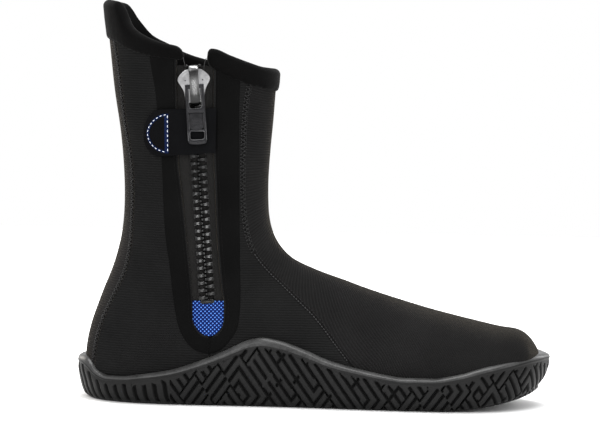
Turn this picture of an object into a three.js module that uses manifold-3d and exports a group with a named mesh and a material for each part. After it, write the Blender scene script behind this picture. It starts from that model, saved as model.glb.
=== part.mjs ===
// Zip-up neoprene water-sports boot (left foot), built as an assembly of its real pieces.
// Units are millimetres. +X points to the toe, +Y to the outer (lateral) side, +Z up.
// The inner (medial) side, which carries the zip, faces -Y. The origin is the centre of the
// footprint of the bounding box, on the ground.
//
// The upper is a 5 mm neoprene shell. Its outer surface is a family of rings: each ring lies
// between a point B on the back or bottom profile and a point F on the front profile, and is
// shaped by half widths and two exponents. Every seam, fold and edge is a curve x(z) in side
// view, so panels are cut from the shell by finding where a ring crosses that curve.
import * as THREE from "three";
import Module from "manifold-3d";

const wasm = await Module();
wasm.setup();

// ---------------------------------------------------------------- driving dimensions
const NEOPRENE = 5.0; // shell thickness
const SEAM_GAP = 0.3; // clear gap between butted panels
const RIM_FIT = 0.6; // gap between the sole cup and the upper
const SHIFT = [0, -0.35, 0]; // puts the bounding box centre on the origin

// ring table: Bx, Bz, Fx, Fz, medial half width, lateral half width, centre Y, widest at, lower exponent, upper exponent
const RINGS = [
  [-133.8, 240.5, -26.3, 206.0, 38.2, 38.2, 0, 0.5, 2.05, 2.05],
  [-131.2, 218.5, -27.2, 191.5, 38.4, 38.2, 0, 0.5, 2.05, 2.05],
  [-128.0, 192.5, -28.2, 175.1, 38.7, 38.1, 0, 0.5, 2.05, 2.05],
  [-123.9, 167.5, -29.6, 156.9, 38.9, 38.0, 0, 0.5, 2.05, 2.05],
  [-121.4, 143.6, -30.5, 138.0, 39.0, 37.9, 0, 0.5, 2.05, 2.05],
  [-120.7, 121.6, -30.1, 121.6, 39.1, 37.8, 0, 0.5, 2.05, 2.05],
  [-122.2, 102.6, -28.9, 112.2, 39.3, 37.7, 0, 0.5, 2.05, 2.05],
  [-126.9, 83.5, -26.7, 104.8, 39.6, 37.6, 0, 0.49, 2.05, 2.05],
  [-134.4, 63.7, -23.4, 98.6, 39.9, 37.6, 0, 0.48, 2.05, 2.08],
  [-141.0, 43.2, -19.4, 93.6, 40.2, 37.8, 0, 0.46, 2.1, 2.1],
  [-143.4, 25.4, -15.0, 89.7, 40.2, 38.2, 0, 0.44, 2.2, 2.1],
  [-140.2, 13.6, -9.9, 86.7, 39.9, 38.9, 0, 0.41, 2.6, 2.1],
  [-126.0, 7.6, -4.2, 84.2, 39.6, 39.8, 0, 0.38, 3.2, 2.1],
  [-103.0, 7.0, 2.5, 81.5, 39.6, 41.0, 0, 0.35, 3.9, 2.1],
  [-77.5, 7.0, 10.1, 78.8, 39.8, 42.4, 0, 0.33, 4.4, 2.1],
  [-52.0, 7.0, 19.7, 75.6, 40.3, 43.8, 0.2, 0.31, 4.7, 2.1],
  [-26.8, 7.0, 30.5, 71.7, 41.2, 45.2, 0.3, 0.3, 4.8, 2.1],
  [-1.5, 7.0, 43.2, 67.6, 42.6, 46.6, 0.3, 0.29, 4.8, 2.1],
  [20.7, 7.0, 55.9, 63.8, 44.5, 47.6, 0.2, 0.29, 4.8, 2.1],
  [41.6, 7.0, 69.2, 60.0, 46.1, 48.0, 0, 0.3, 4.8, 2.1],
  [61.8, 7.0, 83.2, 56.4, 46.8, 47.4, -0.6, 0.31, 4.8, 2.12],
  [80.8, 7.3, 97.2, 53.2, 46.2, 45.2, -1.6, 0.33, 4.7, 2.15],
  [97.2, 8.7, 109.2, 50.6, 44.4, 41.6, -3.0, 0.35, 4.4, 2.2],
  [110.5, 11.2, 119.4, 48.0, 40.6, 36.6, -4.6, 0.37, 4.0, 2.25],
  [121.1, 14.6, 127.7, 45.0, 34.8, 30.6, -6.0, 0.39, 3.5, 2.3],
  [129.9, 18.5, 133.8, 41.2, 27.0, 23.6, -7.2, 0.42, 3.0, 2.3],
  [136.0, 22.4, 138.0, 37.0, 18.0, 15.8, -8.2, 0.45, 2.6, 2.2],
  [139.4, 26.0, 140.3, 33.0, 9.0, 8.2, -8.8, 0.5, 2.3, 2.1],
];
const APEX = [141.4, -8.9, 29.6];

// side view curves, as lists of [x, z]
const COLLAR_MEDIAL = [[-133.8, 240.5], [-131, 243.6], [-128, 243.7], [-125, 240.4], [-122, 236.2], [-118.9, 232.0], [-114, 227.8], [-108.9, 225.0], [-98.1, 221.0], [-89.3, 219.2], [-85.0, 218.3], [-77, 218.0], [-69.1, 217.9], [-63.5, 217.4], [-54.9, 214.0], [-43.8, 210.0], [-33.6, 206.9], [-26.3, 206.0]];
const COLLAR_LATERAL = [[-133.8, 240.5], [-131, 243.8], [-127, 244.6], [-123, 241.4], [-118.1, 236.0], [-107.5, 225.6], [-96.2, 220.2], [-86.5, 215.4], [-76.7, 212.2], [-66, 209.9], [-50, 207.8], [-38, 206.6], [-26.3, 206.0]];
const FRONT_SEAM = [[-41.9, 215], [-42.3, 205.7], [-43.0, 198.3], [-44.9, 185.4], [-45.8, 170.0], [-46.0, 151.5], [-45.5, 127.0], [-43.6, 110.4], [-41.6, 101.9], [-37.1, 92.2], [-30.7, 84.2], [-22.3, 76.0], [-11.9, 66.4], [-1.4, 56.8], [6.0, 48.4], [9.8, 43.4], [15.4, 36.3], [22.1, 27.7], [27.4, 19.8], [34, 8], [36, 2]];
const BINDING_MEDIAL = [[-140, 227.5], [-132.3, 225.2], [-127.3, 223.3], [-118.5, 218.6], [-105.0, 214.6], [-92.7, 213.2], [-85.7, 212.4], [-77, 211.2], [-70, 209.6], [-64.9, 207.2], [-54.7, 202.4], [-43.5, 198.3], [-33.3, 195.7], [-26.0, 194.2], [-18, 193.6]];
const BINDING_LATERAL = [[-140, 227.5], [-132.3, 225.2], [-123, 221.0], [-107.5, 212.5], [-96.0, 207.2], [-86.5, 202.6], [-76.7, 199.6], [-66, 197.4], [-50, 195.6], [-38, 194.6], [-26.3, 194.2], [-18, 193.6]];
const BACK_SEAM = [[-130.6, 250], [-129.0, 229.9], [-127.6, 223.3], [-124.9, 208.3], [-122.7, 192.9], [-119.6, 170.5], [-116.5, 155.7], [-114.9, 143.2], [-114.3, 124.6], [-114.8, 102.7], [-117.6, 82.6], [-122.6, 70.6], [-131.5, 50.4], [-135.5, 36.3], [-136.9, 23.5], [-136.3, 12.5], [-134, 4]];
const SURROUND_REAR = [[-104.6, 228], [-105.0, 214.5], [-103.6, 205.9], [-101.2, 193.5], [-99.8, 182.0], [-96.8, 155], [-95.7, 140], [-94.6, 120.0], [-92.8, 101.6], [-90.3, 87.0], [-87.4, 66.0], [-84.4, 50.3], [-79.2, 39.2], [-71.8, 32.9], [-64.6, 31.0], [-64.6, 2]];
const SURROUND_FRONT = [[-48.0, 220], [-48.2, 200.7], [-48.5, 182.2], [-47.9, 151.5], [-47.2, 120.9], [-46.3, 90.3], [-45.5, 64.5], [-46.6, 49.6], [-52.4, 38.8], [-58.5, 33.2], [-64.0, 31.0], [-64.0, 2]];
const SLOT_REAR = [[-88.2, 235], [-87.9, 215], [-87.5, 200], [-86.6, 170], [-85.6, 150], [-83.5, 134.5], [-79.2, 100.1], [-75.3, 63.3], [-75.0, 54.0], [-72.7, 47.6], [-68.3, 43.6], [-64.9, 42.7], [-64.6, 31], [-64.6, 2]];
const SLOT_FRONT = [[-64.9, 235], [-64.6, 207], [-64.2, 180], [-63.6, 155.8], [-62.4, 134.9], [-60.2, 100.2], [-56.9, 71.7], [-55.4, 63.7], [-55.4, 54.5], [-57.0, 47.6], [-60.3, 44.0], [-63.7, 42.7], [-64.0, 31], [-64.0, 2]];
const FOLD_REAR = [[-102.0, 226], [-66.0, 57.6]];
const FOLD_FRONT = [[-50.2, 206], [-65.0, 57.6]];

// zip line, on the medial side, from the top of the chain to its bottom end
const ZIP_TOP = [-77.43, 206.2];
const ZIP_END = [-66.2, 63.5];
const SLIDER_AT = 8.6; // distance of the slider's middle below the top of the zip line
const TOOTH_PITCH = 4.6;
const CHAIN_WIDTH = 10.0;
const TAPE = 1.1;

// sole
const SOLE_OUTLINE = [[-148.4, 0.2], [-147.0, -9.2], [-142.9, -18.4], [-135.8, -27.0], [-126.0, -33.9], [-112.0, -39.6], [-95.0, -42.8], [-75.0, -44.1], [-55.0, -44.5], [-35.0, -45.0], [-15.0, -46.0], [5.0, -47.6], [25.0, -49.5], [45.0, -51.2], [63.0, -52.2], [80.0, -52.4], [96.0, -51.3], [110.0, -48.6], [122.0, -43.9], [132.0, -37.0], [139.5, -28.6], [144.8, -19.6], [147.9, -12.0], [148.4, -5.0], [146.7, 3.4], [142.6, 12.2], [135.6, 21.4], [125.6, 30.2], [112.5, 38.4], [97.0, 45.2], [79.5, 50.0], [60.0, 52.6], [40.0, 53.1], [20.0, 52.2], [0.0, 50.5], [-20.0, 48.5], [-40.0, 46.7], [-60.0, 45.2], [-80.0, 43.8], [-100.0, 41.3], [-115.0, 37.9], [-128.0, 32.2], [-137.6, 24.6], [-144.0, 15.8], [-147.5, 7.6]];
const RIM_Z = [[-149, 26.2], [-146.5, 26.2], [-143.9, 25.4], [-140.4, 22.9], [-135.7, 18.6], [-128.2, 16.0], [-118, 16.3], [-108.6, 17.7], [-88.0, 21.5], [-72.6, 26.6], [-57.3, 33.0], [-47.2, 38.0], [-40.0, 41.2], [-31.9, 42.6], [-21.6, 41.0], [-6.1, 35.8], [10.0, 29.4], [28.7, 24.8], [45.0, 21.8], [56.0, 20.5], [72.4, 20.5], [88.8, 23.1], [105.4, 27.7], [122.7, 31.6], [135.0, 33.8], [141.8, 34.0], [149, 33.4]];
const GROUND_Z = [[-149, 0], [72, 0], [82, 0.25], [92, 0.95], [104, 2.4], [120, 5.4], [137, 9.6], [145, 13.0], [149, 15.5]];

// ---------------------------------------------------------------- small maths
const lerp = (a, b, t) => a + (b - a) * t;
const sub = (a, b) => [a[0] - b[0], a[1] - b[1], a[2] - b[2]];
const add = (a, b) => [a[0] + b[0], a[1] + b[1], a[2] + b[2]];
const mul = (a, k) => [a[0] * k, a[1] * k, a[2] * k];
const dot = (a, b) => a[0] * b[0] + a[1] * b[1] + a[2] * b[2];
const cross = (a, b) => [a[1] * b[2] - a[2] * b[1], a[2] * b[0] - a[0] * b[2], a[0] * b[1] - a[1] * b[0]];
const unit = (a) => mul(a, 1 / Math.hypot(...a));

// monotone cubic through a table sorted by its first number
function pchip(points) {
  const x = points.map((p) => p[0]), y = points.map((p) => p[1]), n = x.length;
  const h = [], d = [], m = new Array(n).fill(0);
  for (let i = 0; i < n - 1; i++) (h[i] = x[i + 1] - x[i]), (d[i] = (y[i + 1] - y[i]) / h[i]);
  m[0] = d[0];
  m[n - 1] = d[n - 2];
  for (let i = 1; i < n - 1; i++)
    if (d[i - 1] * d[i] > 0) {
      const w1 = 2 * h[i] + h[i - 1], w2 = h[i] + 2 * h[i - 1];
      m[i] = (w1 + w2) / (w1 / d[i - 1] + w2 / d[i]);
    }
  return (q) => {
    if (q <= x[0]) return y[0];
    if (q >= x[n - 1]) return y[n - 1];
    let i = 0;
    while (q > x[i + 1]) i++;
    const t = (q - x[i]) / h[i], t2 = t * t, t3 = t2 * t;
    return (2 * t3 - 3 * t2 + 1) * y[i] + (t3 - 2 * t2 + t) * h[i] * m[i] + (3 * t2 - 2 * t3) * y[i + 1] + (t3 - t2) * h[i] * m[i + 1];
  };
}
const byX = (t) => pchip(t);
const byZ = (t) => pchip([...t].map(([x, z]) => [z, x]).sort((a, b) => a[0] - b[0]).filter((p, i, a) => !i || p[0] > a[i - 1][0]));
const collarM = byX(COLLAR_MEDIAL), collarL = byX(COLLAR_LATERAL), rimZ = byX(RIM_Z), groundZ = byX(GROUND_Z);
const frontSeam = byZ(FRONT_SEAM), backSeam = byZ(BACK_SEAM), surRear = byZ(SURROUND_REAR), surFront = byZ(SURROUND_FRONT);
const slotRear = byZ(SLOT_REAR), slotFront = byZ(SLOT_FRONT), foldRear = byZ(FOLD_REAR), foldFront = byZ(FOLD_FRONT);

// ---------------------------------------------------------------- the upper's outer surface
function ringAt(v) {
  const n = RINGS.length, i = Math.max(0, Math.min(n - 2, Math.floor(v))), t = v - i;
  const a = RINGS[Math.max(0, i - 1)], b = RINGS[i], c = RINGS[i + 1], d = RINGS[Math.min(n - 1, i + 2)];
  return b.map((_, k) => {
    const m0 = i ? (c[k] - a[k]) / 2 : c[k] - b[k], m1 = i < n - 2 ? (d[k] - b[k]) / 2 : c[k] - b[k];
    const t2 = t * t, t3 = t2 * t;
    return (2 * t3 - 3 * t2 + 1) * b[k] + (t3 - 2 * t2 + t) * m0 + (3 * t2 - 2 * t3) * c[k] + (t3 - t2) * m1;
  });
}
function sectionPoint(r, v, a, side) {
  // a runs 0 (at B) to pi (at F); side -1 is medial, +1 lateral
  const c = Math.cos(a), s = Math.max(0, Math.sin(a));
  const lower = c > 0, n = lower ? r[8] : r[9];
  const k = lower ? r[7] * (1 - Math.pow(c, 2 / n)) : r[7] + (1 - r[7]) * Math.pow(-c, 2 / n);
  const g = Math.pow(s, 2 / n);
  const x = lerp(r[0], r[2], k);
  let z = lerp(r[1], r[3], k);
  if (v < 4) {
    const x0 = lerp(RINGS[0][0], RINGS[0][2], k), z0 = lerp(RINGS[0][1], RINGS[0][3], k);
    z += ((side < 0 ? collarM(x0) : collarL(x0)) - z0) * Math.pow(1 - v / 4, 2);
  }
  return [x, r[6] + side * (side < 0 ? r[4] : r[5]) * g, z];
}
const SAMPLES = 96, halfRings = new Map();
function halfRing(v, side) {
  const key = v.toFixed(5) + side;
  if (!halfRings.has(key)) {
    const r = ringAt(v), pts = [], len = [0];
    for (let i = 0; i <= SAMPLES; i++) pts.push(sectionPoint(r, v, (Math.PI * i) / SAMPLES, side));
    for (let i = 1; i <= SAMPLES; i++) len.push(len[i - 1] + Math.hypot(...sub(pts[i], pts[i - 1])));
    halfRings.set(key, { pts, len, total: len[SAMPLES] });
  }
  return halfRings.get(key);
}
// u runs -1 (front, medial) through 0 (back or bottom) ... here each side has its own u in 0..1, by arc length from B to F
function surf(v, u, side) {
  const h = halfRing(v, side), want = Math.max(0, Math.min(1, u)) * h.total;
  let lo = 0, hi = SAMPLES;
  while (hi - lo > 1) {
    const m = (lo + hi) >> 1;
    if (h.len[m] <= want) lo = m;
    else hi = m;
  }
  const t = (want - h.len[lo]) / (h.len[hi] - h.len[lo] || 1);
  return [0, 1, 2].map((k) => lerp(h.pts[lo][k], h.pts[hi][k], t));
}
function normal(v, u, side) {
  const e = 0.02, d = 0.12;
  const ua = Math.max(0, u - e), ub = Math.min(1, u + e), va = Math.max(0, v - d), vb = Math.min(RINGS.length - 1, v + d);
  let pu;
  if (u - e < 0) pu = sub(surf(v, e, side), surf(v, e, -side)), (pu = mul(pu, 1)); // straddles the back line
  else if (u + e > 1) pu = sub(surf(v, 1 - e, -side), surf(v, 1 - e, side));
  else pu = sub(surf(v, ub, side), surf(v, ua, side));
  const pv = sub(surf(vb, u, side), surf(va, u, side));
  const n = unit(cross(pu, pv));
  return side < 0 ? mul(n, -1) : n;
}
// where ring v crosses the side view curve x = f(z): the arc-length fraction u on that side
function crossing(v, side, f) {
  let lo = 0, hi = 1;
  const g = (u) => { const p = surf(v, u, side); return p[0] - f(p[2]); };
  if (g(0) > 0) return 0;
  if (g(1) < 0) return 1;
  for (let i = 0; i < 40; i++) {
    const m = (lo + hi) / 2;
    if (g(m) < 0) lo = m;
    else hi = m;
  }
  return (lo + hi) / 2;
}
// the point of the medial surface that shows at x, z in side view, with its normal
function onSide(x, z, side = -1) {
  let lo = 0, hi = RINGS.length - 2;
  const at = (v) => { const u = crossing(v, side, () => x); return [u, surf(v, u, side)]; };
  for (let i = 0; i < 34; i++) {
    const m = (lo + hi) / 2;
    if (at(m)[1][2] > z) lo = m;
    else hi = m;
  }
  const v = (lo + hi) / 2, [u, p] = at(v);
  return { p, n: normal(v, u, side), v, u };
}

// ---------------------------------------------------------------- solids
const material = (hex, roughness = 0.85, metalness = 0) => new THREE.MeshStandardMaterial({ color: hex, roughness, metalness });
const MAT = {
  jersey: material(0x24242a), skin: material(0x161618, 0.7), binding: material(0x1e1e22, 0.8), rubber: material(0x2a2a2c, 0.55),
  tape: material(0x2c2c2e, 0.9), tooth: material(0x1d1d1f, 0.35), metal: material(0x8d8f92, 0.38, 0.9), pull: material(0x55575a, 0.42, 0.85),
  blue: material(0x2050c8, 0.8), board: material(0x8a7a5e, 0.9), foam: material(0x3a3a3e, 0.95), hook: material(0x202022, 0.95), strap: material(0x18181c, 0.75), steel: material(0x9a9a98, 0.35, 0.9),
};
function toManifold(verts, tris) {
  // merge vertices that coincide and drop the faces that collapse
  const key = new Map(), map = [], out = [];
  verts.forEach((p, i) => {
    const k = p.map((c) => Math.round(c * 2000)).join();
    if (!key.has(k)) key.set(k, out.push(p) - 1);
    map[i] = key.get(k);
  });
  const faces = tris.map((t) => t.map((i) => map[i])).filter(([a, b, c]) => a !== b && b !== c && a !== c);
  const m = new wasm.Manifold(new wasm.Mesh({ numProp: 3, vertProperties: new Float32Array(out.flat()), triVerts: new Uint32Array(faces.flat()) }));
  if (m.volume() < 0) return new wasm.Manifold(new wasm.Mesh({ numProp: 3, vertProperties: new Float32Array(out.flat()), triVerts: new Uint32Array(faces.flatMap(([a, b, c]) => [a, c, b])) }));
  return m;
}
function fromGeometry(g) {
  const n = g.index ? g.toNonIndexed() : g, p = n.getAttribute("position"), verts = [], tris = [];
  for (let i = 0; i < p.count; i++) verts.push([p.getX(i), p.getY(i), p.getZ(i)]);
  for (let i = 0; i < p.count; i += 3) tris.push([i, i + 1, i + 2]);
  return toManifold(verts, tris);
}
function toGeometry(m) {
  const g = m.getMesh(), v = new Float32Array(g.numVert * 3);
  for (let i = 0; i < g.numVert; i++) v.set(g.vertProperties.subarray(i * g.numProp, i * g.numProp + 3), i * 3);
  const made = new THREE.BufferGeometry();
  made.setAttribute("position", new THREE.BufferAttribute(v, 3));
  made.setIndex(new THREE.BufferAttribute(new Uint32Array(g.triVerts), 1));
  made.computeVertexNormals();
  return made;
}

const root = new THREE.Group();
root.name = "boot";
function put(name, manifold, mat) {
  // a sliver left by a cut is dropped; the piece is the one large body
  const bodies = manifold.decompose().sort((a, b) => b.volume() - a.volume());
  const mesh = new THREE.Mesh(toGeometry(bodies[0]), mat);
  mesh.name = name;
  mesh.position.set(...SHIFT);
  root.add(mesh);
  return mesh;
}
const K = SEAM_GAP / 2;

// the closed solid inside the outer surface, shrunk by inset (grown when negative); lift raises its mouth,
// open runs its floor down to the outer surface so that a shell cut with it has no bottom
const HALF = 20;
function body(inset, lift = 0, open = false) {
  const rows = [], last = inset > 2 ? 26 : 27;
  for (let v = 0; v <= last; v++) {
    const r = ringAt(v), length = Math.hypot(r[2] - r[0], r[3] - r[1]), dir = [(r[2] - r[0]) / length, (r[3] - r[1]) / length];
    const floor = open ? Math.max(0, Math.min(1, (v - 10.5) / 2)) * Math.max(0, Math.min(1, (24 - v) / 3)) : 0;
    const back = inset * (1 - floor), toe = inset * Math.pow(Math.max(0, (v - 19) / 8), 1.5);
    const q = [...r];
    q[0] = r[0] + dir[0] * back - toe;
    q[1] = r[1] + dir[1] * back;
    q[2] = r[2] - dir[0] * inset - toe;
    q[3] = r[3] - dir[1] * inset;
    q[4] = r[4] - inset;
    q[5] = r[5] - inset;
    const row = [];
    for (let j = 0; j < 2 * HALF; j++) {
      const side = j <= HALF ? -1 : 1, step = j <= HALF ? j : 2 * HALF - j;
      // even spacing by angle, tightened at the flat sides
      row.push(sectionPoint(q, v, (Math.PI * step) / HALF, side));
    }
    rows.push(row);
  }
  if (lift) rows.unshift(rows[0].map(([x, y, z]) => [x, y, z + lift]));
  const cols = 2 * HALF, verts = rows.flat(), tris = [];
  const top = verts.push(rows[0].reduce((s, p) => add(s, mul(p, 1 / cols)), [0, 0, 0])) - 1;
  const tip = verts.push([APEX[0] - inset, APEX[1], APEX[2]]) - 1;
  for (let i = 0; i < rows.length - 1; i++)
    for (let j = 0; j < cols; j++) {
      const a = i * cols + j, b = i * cols + ((j + 1) % cols), c = b + cols, d = a + cols;
      tris.push([a, b, c], [a, c, d]);
    }
  for (let j = 0; j < cols; j++) {
    const e = (rows.length - 1) * cols;
    tris.push([top, (j + 1) % cols, j], [tip, e + j, e + ((j + 1) % cols)]);
  }
  return toManifold(verts, tris);
}
// a prism along Y whose side view is a ladder of rungs, each rung running from one point to another
function ladder(rungs, y0, y1) {
  const verts = [], tris = [], quad = (a, b, c, d) => tris.push([a, b, c], [a, c, d]);
  for (const [p, q] of rungs) verts.push([p[0], y0, p[1]], [q[0], y0, q[1]], [q[0], y1, q[1]], [p[0], y1, p[1]]);
  const n = rungs.length;
  for (let i = 0; i < n - 1; i++)
    for (let k = 0; k < 4; k++) {
      const a = i * 4 + k, b = i * 4 + ((k + 1) % 4);
      quad(a, b, b + 4, a + 4);
    }
  quad(3, 2, 1, 0);
  const e = (n - 1) * 4;
  quad(e, e + 1, e + 2, e + 3);
  return toManifold(verts, tris);
}
// the region between two side view curves x = fa(z) and x = fb(z), where the second is in front of the first
function between(fa, fb, z0, z1, y0, y1, step = 5) {
  const runs = [[]];
  for (let z = z0; z <= z1 + step * 0.4; z += step) {
    const zz = Math.min(z, z1), a = fa(zz), b = fb(zz);
    if (b - a > 0.05) runs[runs.length - 1].push([[a, zz], [b, zz]]);
    else if (runs[runs.length - 1].length) runs.push([]);
  }
  return ladder(runs.sort((p, q) => q.length - p.length)[0], y0, y1);
}
// everything below or above a curve z(x)
function half(curve, above, y0, y1, offset = 0) {
  const rungs = [];
  for (let x = -160; x <= 160; x += 5) rungs.push([[x, curve(x) + offset], [x, above ? 400 : -50]]);
  return ladder(rungs, y0, y1);
}
function slab(z0, z1) {
  return fromGeometry(new THREE.BoxGeometry(400, 200, z1 - z0).translate(0, 0, (z0 + z1) / 2));
}
const shift = (f, d) => (z) => f(z) + d;
const least = (f, g) => (z) => Math.min(f(z), g(z));
const most = (f, g) => (z) => Math.max(f(z), g(z));
const constant = (c) => () => c;

// ---------------------------------------------------------------- upper
const outerBody = body(0);
const innerBody = body(NEOPRENE, 40, true);
const bindM = byX(BINDING_MEDIAL), bindL = byX(BINDING_LATERAL);
const underBinding = half(bindM, false, -90, 0, -SEAM_GAP).add(half(bindL, false, 0, 90, -SEAM_GAP));
const shell = outerBody.subtract(innerBody).intersect(slab(9.3, 300)).intersect(underBinding);
const M0 = -90, M1 = -2, L0 = 2, L1 = 90;
put("heel_strip", shell.intersect(between(constant(-200), shift(backSeam, -K), 0, 260, -90, 90)), MAT.jersey);
put("vamp", shell.intersect(between(shift(frontSeam, K), constant(200), 0, 260, -90, 90)), MAT.jersey);
put("quarter_lateral", shell.intersect(between(shift(backSeam, K), shift(frontSeam, -K), 0, 260, L0, L1)), MAT.jersey);
put("quarter_medial_rear", shell.intersect(between(shift(backSeam, K), shift(surRear, -K), 0, 260, M0, M1)), MAT.jersey);
put("quarter_medial_front", shell.intersect(between(shift(surFront, K), shift(frontSeam, -K), 0, 260, M0, M1)), MAT.jersey);
// the smooth-skin surround of the zip: each half has a part that stays and a part that folds out
put("surround_rear", shell.intersect(between(shift(surRear, K), least(shift(slotRear, -K), shift(foldRear, -K)), 0, 260, M0, M1)), MAT.skin);
put("surround_front", shell.intersect(between(most(shift(slotFront, K), shift(foldFront, K)), shift(surFront, -K), 0, 260, M0, M1)), MAT.skin);
put("surround_rear_flap", shell.intersect(between(shift(foldRear, K), shift(slotRear, -K), 140, 260, M0, M1)), MAT.skin);
put("surround_front_flap", shell.intersect(between(shift(slotFront, K), shift(foldFront, -K), 105, 260, M0, M1)), MAT.skin);

// padded collar binding, folded over the top edge
const collarBody = body(-1.6, 2).subtract(body(NEOPRENE + 0.6, 40, true)).intersect(half(bindM, true, -90, 0).add(half(bindL, true, 0, 90)));
const binding = collarBody.subtract(between(shift(foldRear, -K), shift(foldFront, K), 180, 270, M0, M1));
put("collar_binding", binding, MAT.binding);
put("binding_rear_end", collarBody.intersect(between(shift(foldRear, K), shift(slotRear, 1.2), 180, 270, M0, M1)), MAT.binding);
put("binding_front_end", collarBody.intersect(between(shift(slotFront, -0.2), shift(foldFront, -K), 180, 270, M0, M1)), MAT.binding);

// ---------------------------------------------------------------- zip frame: s down the zip, a across it to the front, h outward
const P0 = onSide(...ZIP_TOP).p, P1 = onSide(...ZIP_END).p;
const D = unit(sub(P1, P0));
const N = (() => { const m = onSide((ZIP_TOP[0] + ZIP_END[0]) / 2, (ZIP_TOP[1] + ZIP_END[1]) / 2).n; return unit(sub(m, mul(D, dot(m, D)))); })();
const W = cross(N, D);
const zipAt = (s, a, h) => add(add(add(P0, mul(D, s)), mul(W, a)), mul(N, h));
const ZIP_LENGTH = Math.hypot(...sub(P1, P0));
function zipHull(points) {
  const g = new THREE.BufferGeometry(), n = points.length / 2, faces = [];
  // points: n around the lower loop, then n around the upper loop
  for (let i = 1; i < n - 1; i++) faces.push(0, i + 1, i, n, n + i, n + i + 1);
  for (let i = 0; i < n; i++) {
    const j = (i + 1) % n;
    faces.push(i, j, n + j, i, n + j, n + i);
  }
  g.setAttribute("position", new THREE.BufferAttribute(new Float32Array(points.map((p) => zipAt(...p)).flat()), 3));
  g.setIndex(faces);
  return fromGeometry(g);
}
const zipPrism = (loop, h0, h1) => zipHull([...loop.map(([s, a]) => [s, a, h0]), ...loop.map(([s, a]) => [s, a, h1])]);
const zipBox = (s0, s1, a0, a1, h0, h1) => zipPrism([[s0, a0], [s1, a0], [s1, a1], [s0, a1]], h0, h1);
const zipBar = (loop, a0, a1) => zipHull([...loop.map(([s, h]) => [s, a0, h]), ...loop.map(([s, h]) => [s, a1, h])]);

// tapes, in a layer just under the outer surface
const tapeLayer = body(1.6).subtract(body(1.6 + TAPE)), lineX = (z) => P0[0] + (D[0] / D[2]) * (z - P0[2]);
const halfChain = CHAIN_WIDTH / 2;
put("zip_tape_rear", tapeLayer.intersect(between(shift(slotRear, K + 0.1), shift(lineX, -halfChain - 0.3), 65, 208.5, M0, M1)), MAT.tape);
put("zip_tape_front", tapeLayer.intersect(between(shift(lineX, halfChain + 0.3), shift(slotFront, -K - 0.1), 65, 208.5, M0, M1)), MAT.tape);
// teeth: each row is one moulding of teeth on a cord
const FIRST_TOOTH = 24.0, LAST_TOOTH = ZIP_LENGTH - 3.5;
for (const [name, side, start] of [["zip_teeth_rear", -1, FIRST_TOOTH], ["zip_teeth_front", 1, FIRST_TOOTH + TOOTH_PITCH / 2]]) {
  let row = zipBox(FIRST_TOOTH - 1.2, LAST_TOOTH + 1.2, side * halfChain, side * (halfChain - 1.4), -2.4, -0.4);
  for (let s = start; s <= LAST_TOOTH; s += TOOTH_PITCH) row = row.add(zipPrism([[s - 1.0, side * (halfChain - 0.4)], [s + 1.0, side * (halfChain - 0.4)], [s + 0.95, -side * 0.8], [s - 0.95, -side * 0.8]], -2.5, 0.7));
  put(name, row, MAT.tooth);
}
put("zip_top_stop_rear", zipBox(-3.6, -1.4, -4.9, -3.1, -2.6, 0.4), MAT.tooth);
put("zip_top_stop_front", zipBox(-3.6, -1.4, 3.1, 4.9, -2.6, 0.4), MAT.tooth);
put("zip_bottom_stop", zipBox(ZIP_LENGTH - 2.0, ZIP_LENGTH + 0.6, -4.6, 4.6, -2.5, 0.9), MAT.tooth);
// blue knit patch over the end of the zip
put("zip_end_patch", body(0.4).subtract(body(2.6)).intersect(between(shift(slotRear, 0.75), shift(slotFront, -0.75), 43.8, 62.4, M0, M1, 2)), MAT.blue);
// inner guard behind the zip
put("zip_guard", body(5.6).subtract(body(7.0)).intersect(between(shift(lineX, -15), shift(lineX, 16), 45, 207, M0, M1, 9)), MAT.tape);

// ---------------------------------------------------------------- slider, bridge, pull
const C = SLIDER_AT;
const shield = [[-0.4, -6.0], [5.2, -10.1], [7.2, -9.4], [12.5, -6.3], [20.0, -6.1], [20.0, 6.1], [12.5, 6.3], [7.2, 9.4], [5.2, 9.9], [-0.4, 6.0]];
put("slider_body",
  zipPrism([[-0.4, -6.0], [5.2, -10.1], [7.2, -9.4], [12.5, -6.3], [12.5, 6.3], [7.2, 9.4], [5.2, 10.1], [-0.4, 6.0]], 1.2, 2.8)
    .add(zipBox(12.0, 20.0, -6.1, 6.1, 1.2, 2.8))
    .add(zipPrism([[0.4, -4.8], [20.0, -4.8], [20.0, 4.8], [0.4, 4.8]], -4.9, -3.6))
    .add(zipPrism([[0.6, -1.8], [6.0, -2.6], [11.0, -0.8], [11.0, 0.8], [6.0, 2.6], [0.6, 1.8]], -3.9, 1.6)),
  MAT.metal);
const AXIS = 10.2, AXIS_H = 4.9; // where the pull hangs, under the bridge
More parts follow.
